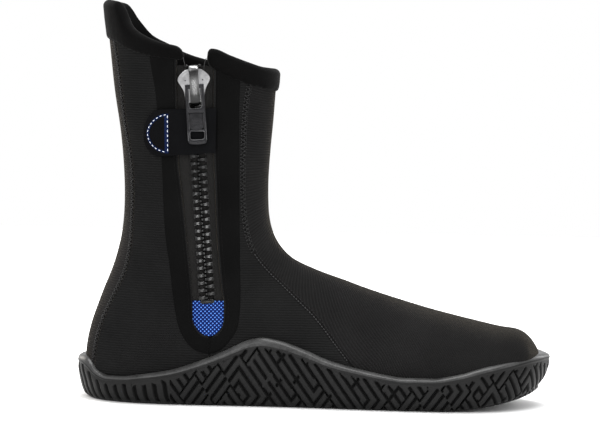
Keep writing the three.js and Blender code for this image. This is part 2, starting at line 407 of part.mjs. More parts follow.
put("slider_bridge",
  zipBar([[0.2, 3.0], [3.0, 3.0], [4.2, 6.4], [2.6, 8.6], [0.9, 6.8]], -3.0, 3.0)
    .add(zipBar([[2.4, 8.6], [3.9, 6.4], [17.6, 6.4], [18.8, 8.6]], -3.0, 3.0))
    .add(zipBar([[18.4, 3.0], [21.2, 3.0], [20.4, 7.0], [18.6, 8.6], [17.4, 6.4]], -3.0, 3.0)),
  MAT.metal);
{
  const t0 = 3.9, t1 = 5.9, g = 6.05;
  const bar = zipBar([[AXIS - 1.0, AXIS_H - 0.4], [AXIS - 0.4, AXIS_H - 1.0], [AXIS + 0.4, AXIS_H - 1.0], [AXIS + 1.0, AXIS_H - 0.4], [AXIS + 1.0, AXIS_H + 0.4], [AXIS + 0.4, AXIS_H + 1.0], [AXIS - 0.4, AXIS_H + 1.0], [AXIS - 1.0, AXIS_H + 0.4]], -g, g);
  const frame = zipPrism([[AXIS, -g], [AXIS + 34.2, -g + 0.5], [AXIS + 35.4, -g + 1.6], [AXIS + 35.4, g - 1.6], [AXIS + 34.2, g - 0.5], [AXIS, g]], t0, t1);
  const windowHole = zipBox(AXIS - 2, AXIS + 13.4, -3.9, 3.9, 0, 9), lowerHole = zipPrism([[AXIS + 28.6, -3.6], [AXIS + 29.4, -4.4], [AXIS + 31.8, -4.4], [AXIS + 32.6, -3.6], [AXIS + 32.6, 3.6], [AXIS + 31.8, 4.4], [AXIS + 29.4, 4.4], [AXIS + 28.6, 3.6]], 0, 9);
  put("pull_tab", frame.subtract(windowHole).subtract(lowerHole).subtract(zipBox(AXIS + 16, AXIS + 26.6, -4.2, 4.2, t1 - 0.5, 9)).add(bar), MAT.pull);
}

// ---------------------------------------------------------------- keeper
const STRAP_TOP = (x) => lerp(181.7, 183.3, (x + 96) / 33), STRAP_LOW = (x) => lerp(153.0, 155.8, (x + 96) / 33);
function strapSheet(x0, x1, cols, inset, h0, h1, round = true) {
  const outer = [], inner = [];
  for (let i = 0; i <= cols; i++) {
    const x = lerp(x0, x1, i / cols), mid = (STRAP_TOP(x) + STRAP_LOW(x)) / 2;
    let hh = (STRAP_TOP(x) - STRAP_LOW(x)) / 2 - inset;
    if (round && x < -96) hh *= Math.sqrt(Math.max(0.05, 1 - Math.pow((-96 - x) / (10.3 - inset), 2)));
    const ro = [], ri = [];
    for (let j = 0; j <= 4; j++) {
      const q = onSide(x, mid + hh * (j / 2 - 1));
      ro.push(add(q.p, mul(q.n, h1)));
      ri.push(add(q.p, mul(q.n, h0)));
    }
    outer.push(ro);
    inner.push(ri);
  }
  const rows = outer.length, n = 5, verts = [...outer.flat(), ...inner.flat()], tris = [];
  const o = (i, j) => i * n + j, q = (i, j) => rows * n + i * n + j, quad = (a, b, c, d) => tris.push([a, b, c], [a, c, d]);
  for (let i = 0; i < rows - 1; i++)
    for (let j = 0; j < n - 1; j++) quad(o(i, j), o(i, j + 1), o(i + 1, j + 1), o(i + 1, j)), quad(q(i, j), q(i + 1, j), q(i + 1, j + 1), q(i, j + 1));
  for (let i = 0; i < rows - 1; i++) quad(o(i, 0), o(i + 1, 0), q(i + 1, 0), q(i, 0)), quad(o(i, n - 1), q(i, n - 1), q(i + 1, n - 1), o(i + 1, n - 1));
  for (let j = 0; j < n - 1; j++) quad(o(0, j), q(0, j), q(0, j + 1), o(0, j + 1)), quad(o(rows - 1, j), o(rows - 1, j + 1), q(rows - 1, j + 1), q(rows - 1, j));
  return toManifold(verts, tris);
}
put("keeper_strap", strapSheet(-106.0, -63.2, 12, 0, 2.0, 3.2), MAT.strap);
put("keeper_hook_patch", strapSheet(-103.6, -96.4, 4, 2.2, 1.15, 1.8), MAT.hook);
put("keeper_loop_patch", strapSheet(-104.6, -95.6, 4, 1.6, 0.3, 0.95), MAT.hook);

// ---------------------------------------------------------------- sole and inside
const outlineN = SOLE_OUTLINE.map((p, i) => {
  const a = SOLE_OUTLINE[(i + SOLE_OUTLINE.length - 1) % SOLE_OUTLINE.length], b = SOLE_OUTLINE[(i + 1) % SOLE_OUTLINE.length], t = [b[0] - a[0], b[1] - a[1]], l = Math.hypot(...t);
  return [-t[1] / l, t[0] / l];
});
const PROFILE = [[7.0, 0], [4.5, 0.07], [2.3, 0.26], [1.0, 0.46], [0, 0.7], [0.2, 0.86], [1.2, 0.95], [3.0, 1]];
function soleSolid() {
  const rows = PROFILE.map(([d, t]) => SOLE_OUTLINE.map(([x, y], i) => {
    const px = x + outlineN[i][0] * d, py = y + outlineN[i][1] * d, g = groundZ(x), r = rimZ(x);
    return [px, py, t ? lerp(g, r, t) : groundZ(px)];
  }));
  const n = SOLE_OUTLINE.length, verts = rows.flat(), tris = [];
  for (let i = 0; i < rows.length - 1; i++)
    for (let j = 0; j < n; j++) {
      const a = i * n + j, b = i * n + ((j + 1) % n);
      tris.push([a, b, b + n], [a, b + n, a + n]);
    }
  // floor and lid are strips across the foot, so that the ground line is followed
  const cap = (base, flip, add2) => {
    const near = [], far = [], tip = 23; // vertex 23 is the toe, vertex 0 the heel
    for (let i = 0; i <= tip; i++) near.push(i);
    for (let i = n; i >= tip; i--) far.push(i % n);
    let i = 0, j = 0;
    while (i < near.length - 1 || j < far.length - 1) {
      const xi = i < near.length - 1 ? rows[add2][near[i + 1]][0] : Infinity, xj = j < far.length - 1 ? rows[add2][far[j + 1]][0] : Infinity;
      if (xi <= xj) { const t = [base + near[i], base + near[i + 1], base + far[j]]; if (new Set(t).size === 3) tris.push(flip ? t.reverse() : t); i++; }
      else { const t = [base + near[i], base + far[j + 1], base + far[j]]; if (new Set(t).size === 3) tris.push(flip ? t.reverse() : t); j++; }
    }
  };
  cap(0, true, 0);
  cap((rows.length - 1) * n, false, rows.length - 1);
  return toManifold(verts, tris);
}
function platePrism(inset, z0, z1, x0, x1) {
  const loop = SOLE_OUTLINE.map(([x, y], i) => new THREE.Vector2(x + outlineN[i][0] * inset, y + outlineN[i][1] * inset));
  return fromGeometry(new THREE.ExtrudeGeometry(new THREE.Shape(loop), { depth: z1 - z0, bevelEnabled: false }).translate(0, 0, z0))
    .intersect(fromGeometry(new THREE.BoxGeometry(x1 - x0, 200, 60).translate((x0 + x1) / 2, 0, 0)));
}
let sole = soleSolid().subtract(body(-RIM_FIT)).subtract(platePrism(15, 3.2, 9, -125, 78));
for (const x of [-118, -104, -90, -76, -62, -20, -2, 16, 34, 52, 70]) sole = sole.subtract(fromGeometry(new THREE.BoxGeometry(2.6, 62, 3).rotateZ(0.35).translate(x, 0, 0)));
put("outsole", sole, MAT.rubber);
put("midsole_pad", platePrism(15.4, 3.5, 6.3, -124.6, 77.6), MAT.foam);
put("insole_board", body(0.3).intersect(slab(6.9, 9.0)), MAT.board);
put("footbed", body(NEOPRENE + 0.4, 0, true).intersect(slab(9.3, 13.2)), MAT.foam);

export default root;
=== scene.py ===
# The looks of a zip-up neoprene water-sports boot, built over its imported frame.
import bpy, math
import numpy as np
from mathutils import Vector, Matrix
from mathutils.bvhtree import BVHTree


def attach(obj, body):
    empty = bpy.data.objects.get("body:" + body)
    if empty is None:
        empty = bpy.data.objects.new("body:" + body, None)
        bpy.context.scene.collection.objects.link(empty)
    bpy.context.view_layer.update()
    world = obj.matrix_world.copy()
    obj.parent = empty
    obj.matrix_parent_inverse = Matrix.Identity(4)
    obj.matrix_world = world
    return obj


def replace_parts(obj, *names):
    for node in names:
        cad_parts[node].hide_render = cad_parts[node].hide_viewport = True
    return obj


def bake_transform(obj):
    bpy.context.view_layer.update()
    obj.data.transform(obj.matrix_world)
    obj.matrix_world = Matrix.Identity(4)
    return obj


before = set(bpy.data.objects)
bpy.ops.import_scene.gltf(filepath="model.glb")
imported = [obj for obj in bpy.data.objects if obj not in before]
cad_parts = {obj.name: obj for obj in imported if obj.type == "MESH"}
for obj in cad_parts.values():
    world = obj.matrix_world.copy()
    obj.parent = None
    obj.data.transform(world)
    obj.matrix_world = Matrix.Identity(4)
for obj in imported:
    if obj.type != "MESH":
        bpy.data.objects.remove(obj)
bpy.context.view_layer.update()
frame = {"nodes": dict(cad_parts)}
MM = 0.001
SY = -0.35  # the part's shift along Y, in mm

RINGS = np.array([
  [-133.8, 240.5, -26.3, 206.0, 38.2, 38.2, 0, 0.5, 2.05, 2.05],
  [-131.2, 218.5, -27.2, 191.5, 38.4, 38.2, 0, 0.5, 2.05, 2.05],
  [-128.0, 192.5, -28.2, 175.1, 38.7, 38.1, 0, 0.5, 2.05, 2.05],
  [-123.9, 167.5, -29.6, 156.9, 38.9, 38.0, 0, 0.5, 2.05, 2.05],
  [-121.4, 143.6, -30.5, 138.0, 39.0, 37.9, 0, 0.5, 2.05, 2.05],
  [-120.7, 121.6, -30.1, 121.6, 39.1, 37.8, 0, 0.5, 2.05, 2.05],
  [-122.2, 102.6, -28.9, 112.2, 39.3, 37.7, 0, 0.5, 2.05, 2.05],
  [-126.9, 83.5, -26.7, 104.8, 39.6, 37.6, 0, 0.49, 2.05, 2.05],
  [-134.4, 63.7, -23.4, 98.6, 39.9, 37.6, 0, 0.48, 2.05, 2.08],
  [-141.0, 43.2, -19.4, 93.6, 40.2, 37.8, 0, 0.46, 2.1, 2.1],
  [-143.4, 25.4, -15.0, 89.7, 40.2, 38.2, 0, 0.44, 2.2, 2.1],
  [-140.2, 13.6, -9.9, 86.7, 39.9, 38.9, 0, 0.41, 2.6, 2.1],
  [-126.0, 7.6, -4.2, 84.2, 39.6, 39.8, 0, 0.38, 3.2, 2.1],
  [-103.0, 7.0, 2.5, 81.5, 39.6, 41.0, 0, 0.35, 3.9, 2.1],
  [-77.5, 7.0, 10.1, 78.8, 39.8, 42.4, 0, 0.33, 4.4, 2.1],
  [-52.0, 7.0, 19.7, 75.6, 40.3, 43.8, 0.2, 0.31, 4.7, 2.1],
  [-26.8, 7.0, 30.5, 71.7, 41.2, 45.2, 0.3, 0.3, 4.8, 2.1],
  [-1.5, 7.0, 43.2, 67.6, 42.6, 46.6, 0.3, 0.29, 4.8, 2.1],
  [20.7, 7.0, 55.9, 63.8, 44.5, 47.6, 0.2, 0.29, 4.8, 2.1],
  [41.6, 7.0, 69.2, 60.0, 46.1, 48.0, 0, 0.3, 4.8, 2.1],
  [61.8, 7.0, 83.2, 56.4, 46.8, 47.4, -0.6, 0.31, 4.8, 2.12],
  [80.8, 7.3, 97.2, 53.2, 46.2, 45.2, -1.6, 0.33, 4.7, 2.15],
  [97.2, 8.7, 109.2, 50.6, 44.4, 41.6, -3.0, 0.35, 4.4, 2.2],
  [110.5, 11.2, 119.4, 48.0, 40.6, 36.6, -4.6, 0.37, 4.0, 2.25],
  [121.1, 14.6, 127.7, 45.0, 34.8, 30.6, -6.0, 0.39, 3.5, 2.3],
  [129.9, 18.5, 133.8, 41.2, 27.0, 23.6, -7.2, 0.42, 3.0, 2.3],
  [136.0, 22.4, 138.0, 37.0, 18.0, 15.8, -8.2, 0.45, 2.6, 2.2],
  [139.4, 26.0, 140.3, 33.0, 9.0, 8.2, -8.8, 0.5, 2.3, 2.1],
], float)
APEX = np.array([141.4, -8.9, 29.6])
COLLAR_MEDIAL = [[-133.8, 240.5], [-131, 243.6], [-128, 243.7], [-125, 240.4], [-122, 236.2], [-118.9, 232.0], [-114, 227.8], [-108.9, 225.0], [-98.1, 221.0], [-89.3, 219.2], [-85.0, 218.3], [-77, 218.0], [-69.1, 217.9], [-63.5, 217.4], [-54.9, 214.0], [-43.8, 210.0], [-33.6, 206.9], [-26.3, 206.0]]
COLLAR_LATERAL = [[-133.8, 240.5], [-131, 243.8], [-127, 244.6], [-123, 241.4], [-118.1, 236.0], [-107.5, 225.6], [-96.2, 220.2], [-86.5, 215.4], [-76.7, 212.2], [-66, 209.9], [-50, 207.8], [-38, 206.6], [-26.3, 206.0]]
FRONT_SEAM = [[-41.9, 215], [-42.3, 205.7], [-43.0, 198.3], [-44.9, 185.4], [-45.8, 170.0], [-46.0, 151.5], [-45.5, 127.0], [-43.6, 110.4], [-41.6, 101.9], [-37.1, 92.2], [-30.7, 84.2], [-22.3, 76.0], [-11.9, 66.4], [-1.4, 56.8], [6.0, 48.4], [9.8, 43.4], [15.4, 36.3], [22.1, 27.7], [27.4, 19.8], [34, 8], [36, 2]]
BINDING_MEDIAL = [[-140, 227.5], [-132.3, 225.2], [-127.3, 223.3], [-118.5, 218.6], [-105.0, 214.6], [-92.7, 213.2], [-85.7, 212.4], [-77, 211.2], [-70, 209.6], [-64.9, 207.2], [-54.7, 202.4], [-43.5, 198.3], [-33.3, 195.7], [-26.0, 194.2], [-18, 193.6]]
BINDING_LATERAL = [[-140, 227.5], [-132.3, 225.2], [-123, 221.0], [-107.5, 212.5], [-96.0, 207.2], [-86.5, 202.6], [-76.7, 199.6], [-66, 197.4], [-50, 195.6], [-38, 194.6], [-26.3, 194.2], [-18, 193.6]]
BACK_SEAM = [[-130.6, 250], [-129.0, 229.9], [-127.6, 223.3], [-124.9, 208.3], [-122.7, 192.9], [-119.6, 170.5], [-116.5, 155.7], [-114.9, 143.2], [-114.3, 124.6], [-114.8, 102.7], [-117.6, 82.6], [-122.6, 70.6], [-131.5, 50.4], [-135.5, 36.3], [-136.9, 23.5], [-136.3, 12.5], [-134, 4]]
SURROUND_REAR = [[-104.6, 228], [-105.0, 214.5], [-103.6, 205.9], [-101.2, 193.5], [-99.8, 182.0], [-96.8, 155], [-95.7, 140], [-94.6, 120.0], [-92.8, 101.6], [-90.3, 87.0], [-87.4, 66.0], [-84.4, 50.3], [-79.2, 39.2], [-71.8, 32.9], [-64.6, 31.0], [-64.6, 2]]
SURROUND_FRONT = [[-48.0, 220], [-48.2, 200.7], [-48.5, 182.2], [-47.9, 151.5], [-47.2, 120.9], [-46.3, 90.3], [-45.5, 64.5], [-46.6, 49.6], [-52.4, 38.8], [-58.5, 33.2], [-64.0, 31.0], [-64.0, 2]]
SLOT_REAR = [[-88.2, 235], [-87.9, 215], [-87.5, 200], [-86.6, 170], [-85.6, 150], [-83.5, 134.5], [-79.2, 100.1], [-75.3, 63.3], [-75.0, 54.0], [-72.7, 47.6], [-68.3, 43.6], [-64.9, 42.7], [-64.6, 31], [-64.6, 2]]
SLOT_FRONT = [[-64.9, 235], [-64.6, 207], [-64.2, 180], [-63.6, 155.8], [-62.4, 134.9], [-60.2, 100.2], [-56.9, 71.7], [-55.4, 63.7], [-55.4, 54.5], [-57.0, 47.6], [-60.3, 44.0], [-63.7, 42.7], [-64.0, 31], [-64.0, 2]]
FOLD_REAR = [[-102.0, 226], [-66.0, 57.6]]
FOLD_FRONT = [[-50.2, 206], [-65.0, 57.6]]
SOLE_OUTLINE = [[-148.4, 0.2], [-147.0, -9.2], [-142.9, -18.4], [-135.8, -27.0], [-126.0, -33.9], [-112.0, -39.6], [-95.0, -42.8], [-75.0, -44.1], [-55.0, -44.5], [-35.0, -45.0], [-15.0, -46.0], [5.0, -47.6], [25.0, -49.5], [45.0, -51.2], [63.0, -52.2], [80.0, -52.4], [96.0, -51.3], [110.0, -48.6], [122.0, -43.9], [132.0, -37.0], [139.5, -28.6], [144.8, -19.6], [147.9, -12.0], [148.4, -5.0], [146.7, 3.4], [142.6, 12.2], [135.6, 21.4], [125.6, 30.2], [112.5, 38.4], [97.0, 45.2], [79.5, 50.0], [60.0, 52.6], [40.0, 53.1], [20.0, 52.2], [0.0, 50.5], [-20.0, 48.5], [-40.0, 46.7], [-60.0, 45.2], [-80.0, 43.8], [-100.0, 41.3], [-115.0, 37.9], [-128.0, 32.2], [-137.6, 24.6], [-144.0, 15.8], [-147.5, 7.6]]
RIM_Z = [[-149, 26.2], [-146.5, 26.2], [-143.9, 25.4], [-140.4, 22.9], [-135.7, 18.6], [-128.2, 16.0], [-118, 16.3], [-108.6, 17.7], [-88.0, 21.5], [-72.6, 26.6], [-57.3, 33.0], [-47.2, 38.0], [-40.0, 41.2], [-31.9, 42.6], [-21.6, 41.0], [-6.1, 35.8], [10.0, 29.4], [28.7, 24.8], [45.0, 21.8], [56.0, 20.5], [72.4, 20.5], [88.8, 23.1], [105.4, 27.7], [122.7, 31.6], [135.0, 33.8], [141.8, 34.0], [149, 33.4]]
GROUND_Z = [[-149, 0], [72, 0], [82, 0.25], [92, 0.95], [104, 2.4], [120, 5.4], [137, 9.6], [145, 13.0], [149, 15.5]]

P0, ZD, ZN, ZW = np.array([-77.43, -38.3184, 206.2]), np.array([0.0785, -0.0031, -0.9969]), np.array([0.0671, -0.9977, 0.0084]), np.array([0.9947, 0.0675, 0.0781])
ZIP_LENGTH = 143.142


def pchip(points):
    p = sorted(points)
    p = [q for i, q in enumerate(p) if i == 0 or q[0] > p[i - 1][0]]
    x = np.array([q[0] for q in p], float)
    y = np.array([q[1] for q in p], float)
    h = np.diff(x)
    d = np.diff(y) / h
    m = np.zeros_like(x)
    m[0], m[-1] = d[0], d[-1]
    for i in range(1, len(x) - 1):
        if d[i - 1] * d[i] > 0:
            w1, w2 = 2 * h[i] + h[i - 1], h[i] + 2 * h[i - 1]
            m[i] = (w1 + w2) / (w1 / d[i - 1] + w2 / d[i])

    def f(q):
        q = np.clip(np.asarray(q, float), x[0], x[-1])
        i = np.clip(np.searchsorted(x, q, side="right") - 1, 0, len(x) - 2)
        t = (q - x[i]) / h[i]
        t2, t3 = t * t, t * t * t
        return (2 * t3 - 3 * t2 + 1) * y[i] + (t3 - 2 * t2 + t) * h[i] * m[i] + (3 * t2 - 2 * t3) * y[i + 1] + (t3 - t2) * h[i] * m[i + 1]

    return f


by_z = lambda t: pchip([[z, x] for x, z in t])
collar_m, collar_l, rim_z, ground_z = pchip(COLLAR_MEDIAL), pchip(COLLAR_LATERAL), pchip(RIM_Z), pchip(GROUND_Z)
bind_m, bind_l = pchip(BINDING_MEDIAL), pchip(BINDING_LATERAL)
front_seam, back_seam, sur_rear, sur_front = by_z(FRONT_SEAM), by_z(BACK_SEAM), by_z(SURROUND_REAR), by_z(SURROUND_FRONT)
slot_rear, slot_front, fold_rear, fold_front = by_z(SLOT_REAR), by_z(SLOT_FRONT), by_z(FOLD_REAR), by_z(FOLD_FRONT)

# ------------------------------------------------------------------ the upper's outer surface, as a table
NV, NU, NA = 541, 161, 193
VS = np.linspace(0, 27, NV)


def ring_rows(v):
    n = len(RINGS)
    i = np.clip(np.floor(v).astype(int), 0, n - 2)
    t = (v - i)[:, None]
    a, b, c, d = RINGS[np.maximum(i - 1, 0)], RINGS[i], RINGS[i + 1], RINGS[np.minimum(i + 2, n - 1)]
    m0 = np.where((i == 0)[:, None], c - b, (c - a) / 2)
    m1 = np.where((i == n - 2)[:, None], c - b, (d - b) / 2)
    t2, t3 = t * t, t * t * t
    return (2 * t3 - 3 * t2 + 1) * b + (t3 - 2 * t2 + t) * m0 + (3 * t2 - 2 * t3) * c + (t3 - t2) * m1


def side_grid(side):
    r = ring_rows(VS)
    a = np.linspace(0, np.pi, NA)[None, :]
    c, s = np.cos(a), np.maximum(0, np.sin(a))
    low = c > 0
    n = np.where(low, r[:, 8:9], r[:, 9:10])
    k = np.where(low, r[:, 7:8] * (1 - np.abs(c) ** (2 / n)), r[:, 7:8] + (1 - r[:, 7:8]) * np.abs(c) ** (2 / n))
    g = s ** (2 / n)
    x = r[:, 0:1] + (r[:, 2:3] - r[:, 0:1]) * k
    z = r[:, 1:2] + (r[:, 3:4] - r[:, 1:2]) * k
    x0 = RINGS[0, 0] + (RINGS[0, 2] - RINGS[0, 0]) * k
    z0 = RINGS[0, 1] + (RINGS[0, 3] - RINGS[0, 1]) * k
    fade = np.maximum(0, 1 - VS[:, None] / 4) ** 2
    z = z + ((collar_m if side < 0 else collar_l)(x0) - z0) * fade
    y = r[:, 6:7] + side * (r[:, 4:5] if side < 0 else r[:, 5:6]) * g
    pts = np.stack([x, y, z], -1)
    seg = np.linalg.norm(np.diff(pts, axis=1), axis=2)
    length = np.concatenate([np.zeros((NV, 1)), np.cumsum(seg, 1)], 1)
    out = np.zeros((NV, NU, 3))
    u = np.linspace(0, 1, NU)
    for i in range(NV):
        for k2 in range(3):
            out[i, :, k2] = np.interp(u * length[i, -1], length[i], pts[i, :, k2])
    return out, length[:, -1]


GM, LEN_M = side_grid(-1)
GL, LEN_L = side_grid(1)
LOOP = np.concatenate([GM, GL[:, ::-1][:, 1:-1]], 1)  # closed: medial back to front, lateral front to back
NW = LOOP.shape[1]
LOOP[..., 1] += SY
for _ in range(2):  # a light smooth takes the table's corners out of the normals
    LOOP[1:-1] = LOOP[1:-1] * 0.5 + 0.25 * (LOOP[:-2] + LOOP[2:])
du = np.roll(LOOP, -2, 1) - np.roll(LOOP, 2, 1)
dv = np.gradient(LOOP, axis=0)
NORM = np.cross(du, dv)
NORM /= np.linalg.norm(NORM, axis=2, keepdims=True) + 1e-12
if NORM[80, 80, 1] > 0:
    NORM = -NORM


def sample(v, w, h=0.0):
    """points (and normals) of the surface at ring v and loop index w, lifted by h mm"""
    v, w, h = np.broadcast_arrays(np.asarray(v, float), np.asarray(w, float), np.asarray(h, float))
    fv = np.clip(v / 27 * (NV - 1), 0, NV - 1.0001)
    i = fv.astype(int)
    tv = (fv - i)[..., None]
    w = np.mod(w, NW)
    j = np.floor(w).astype(int) % NW
    tw = (w - np.floor(w))[..., None]
    k = (j + 1) % NW

    def mix(A):
        return (A[i, j] * (1 - tw) + A[i, k] * tw) * (1 - tv) + (A[i + 1, j] * (1 - tw) + A[i + 1, k] * tw) * tv

    n = mix(NORM)
    n /= np.linalg.norm(n, axis=-1, keepdims=True)
    return mix(LOOP) + n * h[..., None], n


def w_of(u, side):
    return u * (NU - 1) if side < 0 else 2 * (NU - 1) - u * (NU - 1)


def crossing(side, f, last=False):
    """for every ring of the table, the u where it crosses the side view curve x = f(z)"""
    G = GM if side < 0 else GL
    g = G[..., 0] - f(G[..., 2])
    out = np.zeros(NV)
    for i in range(NV):
        s = g[i]
        if last:
            idx = np.where(s < 0)[0]
            j = idx[-1] if len(idx) else -1
        else:
            idx = np.where(s > 0)[0]
            j = idx[0] - 1 if len(idx) else NU - 1
        if j < 0:
            out[i] = 0
        elif j >= NU - 1:
            out[i] = 1
        else:
            out[i] = (j + s[j] / (s[j] - s[j + 1])) / (NU - 1)
    return lambda v: np.interp(v, VS, out)


def floor_u(side, z0=9.6):
    """where each ring rises above the insole, so that a panel has no bottom"""
    G = GM if side < 0 else GL
    out = np.zeros(NV)
    for i in range(NV):
        below = np.where(G[i, :, 2] < z0)[0]
        if len(below) and VS[i] > 9:
            j = below[-1]
            out[i] = min(1, (j + (z0 - G[i, j, 2]) / max(1e-6, G[i, j + 1, 2] - G[i, j, 2])) / (NU - 1))
    return lambda v: np.interp(v, VS, out)


def on_side(x, z):
    """ring v and loop index w of the medial surface seen at x, z in side view"""
    x, z = np.broadcast_arrays(np.asarray(x, float), np.asarray(z, float))
    shape = x.shape
    x, z = x.ravel(), z.ravel()
    gv, gw = np.meshgrid(np.arange(0, NV, 6), np.arange(4, NU - 4, 4), indexing="ij")
    C = LOOP[gv, gw][..., [0, 2]].reshape(-1, 2)
    best = np.array([np.argmin((C[:, 0] - a) ** 2 + (C[:, 1] - b) ** 2) for a, b in zip(x, z)])
    v = gv.ravel()[best] * 27.0 / (NV - 1)
    w = gw.ravel()[best].astype(float)
    for _ in range(9):
        p, _n = sample(v, w)
        pv, _n = sample(v + 0.06, w)
        pw, _n = sample(v, w + 0.6)
        a, b = (pv - p)[:, 0] / 0.06, (pw - p)[:, 0] / 0.6
        c, d = (pv - p)[:, 2] / 0.06, (pw - p)[:, 2] / 0.6
        ex, ez = x - p[:, 0], z - p[:, 2]
        det = a * d - b * c
        det = np.where(np.abs(det) < 1e-6, 1e-6, det)
        v = np.clip(v + np.clip((ex * d - b * ez) / det, -1, 1), 0, 26)
        w = np.clip(w + np.clip((a * ez - c * ex) / det, -8, 8), 1, NU - 2)
    return v.reshape(shape), w.reshape(shape)


def side_point(x, z, h=0.0):
    v, w = on_side(x, z)
    return sample(v, w, h)


def zip_at(s, a, h):
    s, a, h = np.broadcast_arrays(np.asarray(s, float), np.asarray(a, float), np.asarray(h, float))
    return P0 + np.array([0, SY, 0]) + s[..., None] * ZD + a[..., None] * ZW + h[..., None] * ZN


# ------------------------------------------------------------------ mesh helpers
def make(name, verts, faces, mat, body=None, smooth=True, uv=None, mats=None, face_mat=None):
    verts = np.asarray(verts, float).reshape(-1, 3)
    me = bpy.data.meshes.new(name)
    me.from_pydata((verts * MM).tolist(), [], [tuple(int(i) for i in f) for f in faces])
    me.validate()
    if smooth:
        me.polygons.foreach_set("use_smooth", [True] * len(me.polygons))
    uvl = me.uv_layers.new(name="UVMap")
    src = uv if uv is not None else verts[:, [0, 2]] * 0.01
    idx = np.zeros(len(me.loops), int)
    me.loops.foreach_get("vertex_index", idx)
    uvl.data.foreach_set("uv", np.asarray(src, float)[idx].astype(np.float32).ravel())
    ob = bpy.data.objects.new(name, me)
    bpy.context.scene.collection.objects.link(ob)
    for m in mats or [mat]:
        me.materials.append(m)
    if face_mat is not None and len(face_mat) == len(me.polygons):
        me.polygons.foreach_set("material_index", face_mat)
    if body:
        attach(ob, body)
    return ob


def grid_faces(rows, cols, base=0, flip=False, closed=False):
    out = []
    n = cols if closed else cols - 1
    for i in range(rows - 1):
        for j in range(n):
            a, b = base + i * cols + j, base + i * cols + (j + 1) % cols
            q = (a, b, b + cols, a + cols)
            out.append(q[::-1] if flip else q)
    return out


def shell_piece(name, outer, inner, mats, uv=None, flip=False):
    """a closed sheet between two grids; inside faces take the second material"""
    R, C = outer.shape[:2]
    verts = np.concatenate([outer.reshape(-1, 3), inner.reshape(-1, 3)])
    n = R * C
    f = grid_faces(R, C, 0, flip)
    kinds = [0] * len(f)
    g = grid_faces(R, C, n, not flip)
    f += g
    kinds += [1] * len(g)
    rim = [i * C for i in range(R)] + [(R - 1) * C + j for j in range(1, C)] + [i * C + C - 1 for i in range(R - 2, -1, -1)] + [j for j in range(C - 2, 0, -1)]
    for a, b in zip(rim, rim[1:] + rim[:1]):
        q = (a, b, b + n, a + n)
        f.append(q if flip else q[::-1])
        kinds.append(0)
    if uv is not None:
        uv = np.concatenate([uv.reshape(-1, 2), uv.reshape(-1, 2)])
    ob = make(name, verts, f, None, uv=uv, mats=mats, face_mat=kinds)
    return ob


def tubes(name, paths, radius, mat, body=None, sides=6, flat=1.0):
    """round threads along polylines, tapered at their ends"""
    V, F = [], []
    for path in paths:
        p = np.asarray(path, float)
        t = np.gradient(p, axis=0)
        t /= np.linalg.norm(t, axis=1, keepdims=True) + 1e-9
        ref = np.array([0.1, -1.0, 0.2])
        a = np.cross(t, ref)
        a /= np.linalg.norm(a, axis=1, keepdims=True) + 1e-9
        b = np.cross(t, a)
        m = len(p)
        r = np.full(m, radius)
        r[0] *= 0.35
        r[-1] *= 0.35
        base = len(V)
        for i in range(m):
            for k in range(sides):
                q = 2 * math.pi * k / sides
                V.append(p[i] + r[i] * (a[i] * math.cos(q) + b[i] * flat * math.sin(q)))
        F += grid_faces(m, sides, base, closed=True)
        F.append(tuple(base + k for k in range(sides))[::-1])
        F.append(tuple(base + (m - 1) * sides + k for k in range(sides)))
    return make(name, np.array(V), F, mat, body)


def rounded(points, k=1):
    p = np.asarray(points, float)
    for _ in range(k):
        q = np.roll(p, -1, 0)
        p = np.stack([p * 0.75 + q * 0.25, p * 0.25 + q * 0.75], 1).reshape(-1, p.shape[1])
    return p


def plate(name, loop, h0, h1, mat, body, edge=0.4, mapper=zip_at, holes=(), crown=0.0):
    """a plate with a rounded top edge: loops of (s, a) in the zip frame, with windows"""
    V, F = [], []

    def inset(l, d):
        t = np.roll(l, -1, 0) - np.roll(l, 1, 0)
        t /= np.linalg.norm(t, axis=1, keepdims=True) + 1e-9
        area = np.sum(l[:, 0] * np.roll(l[:, 1], -1) - np.roll(l[:, 0], -1) * l[:, 1])
        n = np.stack([-t[:, 1], t[:, 0]], 1) * np.sign(area)
        return l + n * d

    steps = [(0.0, h0 + edge * 0.6), (edge * 0.6, h0), (0.0, h0 + edge * 0.6), (0.0, h1 - edge), (edge * 0.3, h1 - edge * 0.3), (edge, h1)]
    import bmesh

    bm = bmesh.new()
    tops, bots = [], []
    for li, l in enumerate([loop] + list(holes)):
        sign = 1 if li == 0 else -1
        rings = []
        for d, h in [(edge * 0.6, h0), (0.0, h0 + edge * 0.6), (0.0, h1 - edge), (edge * 0.3, h1 - edge * 0.3), (edge, h1)]:
            q = inset(l, d * sign)
            pts = mapper(q[:, 0], q[:, 1], np.full(len(q), h))
            rings.append([bm.verts.new(tuple(p * MM)) for p in pts])
        n = len(l)
        for a, b in zip(rings, rings[1:]):
            for i in range(n):
                bm.faces.new((a[i], a[(i + 1) % n], b[(i + 1) % n], b[i]))
        bots.append(rings[0])
        tops.append(rings[-1])
    for group in (tops, bots):
        edges = []
        for r in group:
            for i in range(len(r)):
                e = bm.edges.get((r[i], r[(i + 1) % len(r)]))
                edges.append(e)
        bmesh.ops.triangle_fill(bm, edges=edges, use_beauty=True)
    bmesh.ops.recalc_face_normals(bm, faces=bm.faces)
    me = bpy.data.meshes.new(name)
    bm.to_mesh(me)
    bm.free()
    me.uv_layers.new(name="UVMap")
    ob = bpy.data.objects.new(name, me)
    bpy.context.scene.collection.objects.link(ob)
    me.materials.append(mat)
    me.polygons.foreach_set("use_smooth", [True] * len(me.polygons))
    me.set_sharp_from_angle(angle=math.radians(38))
    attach(ob, body)
    return ob


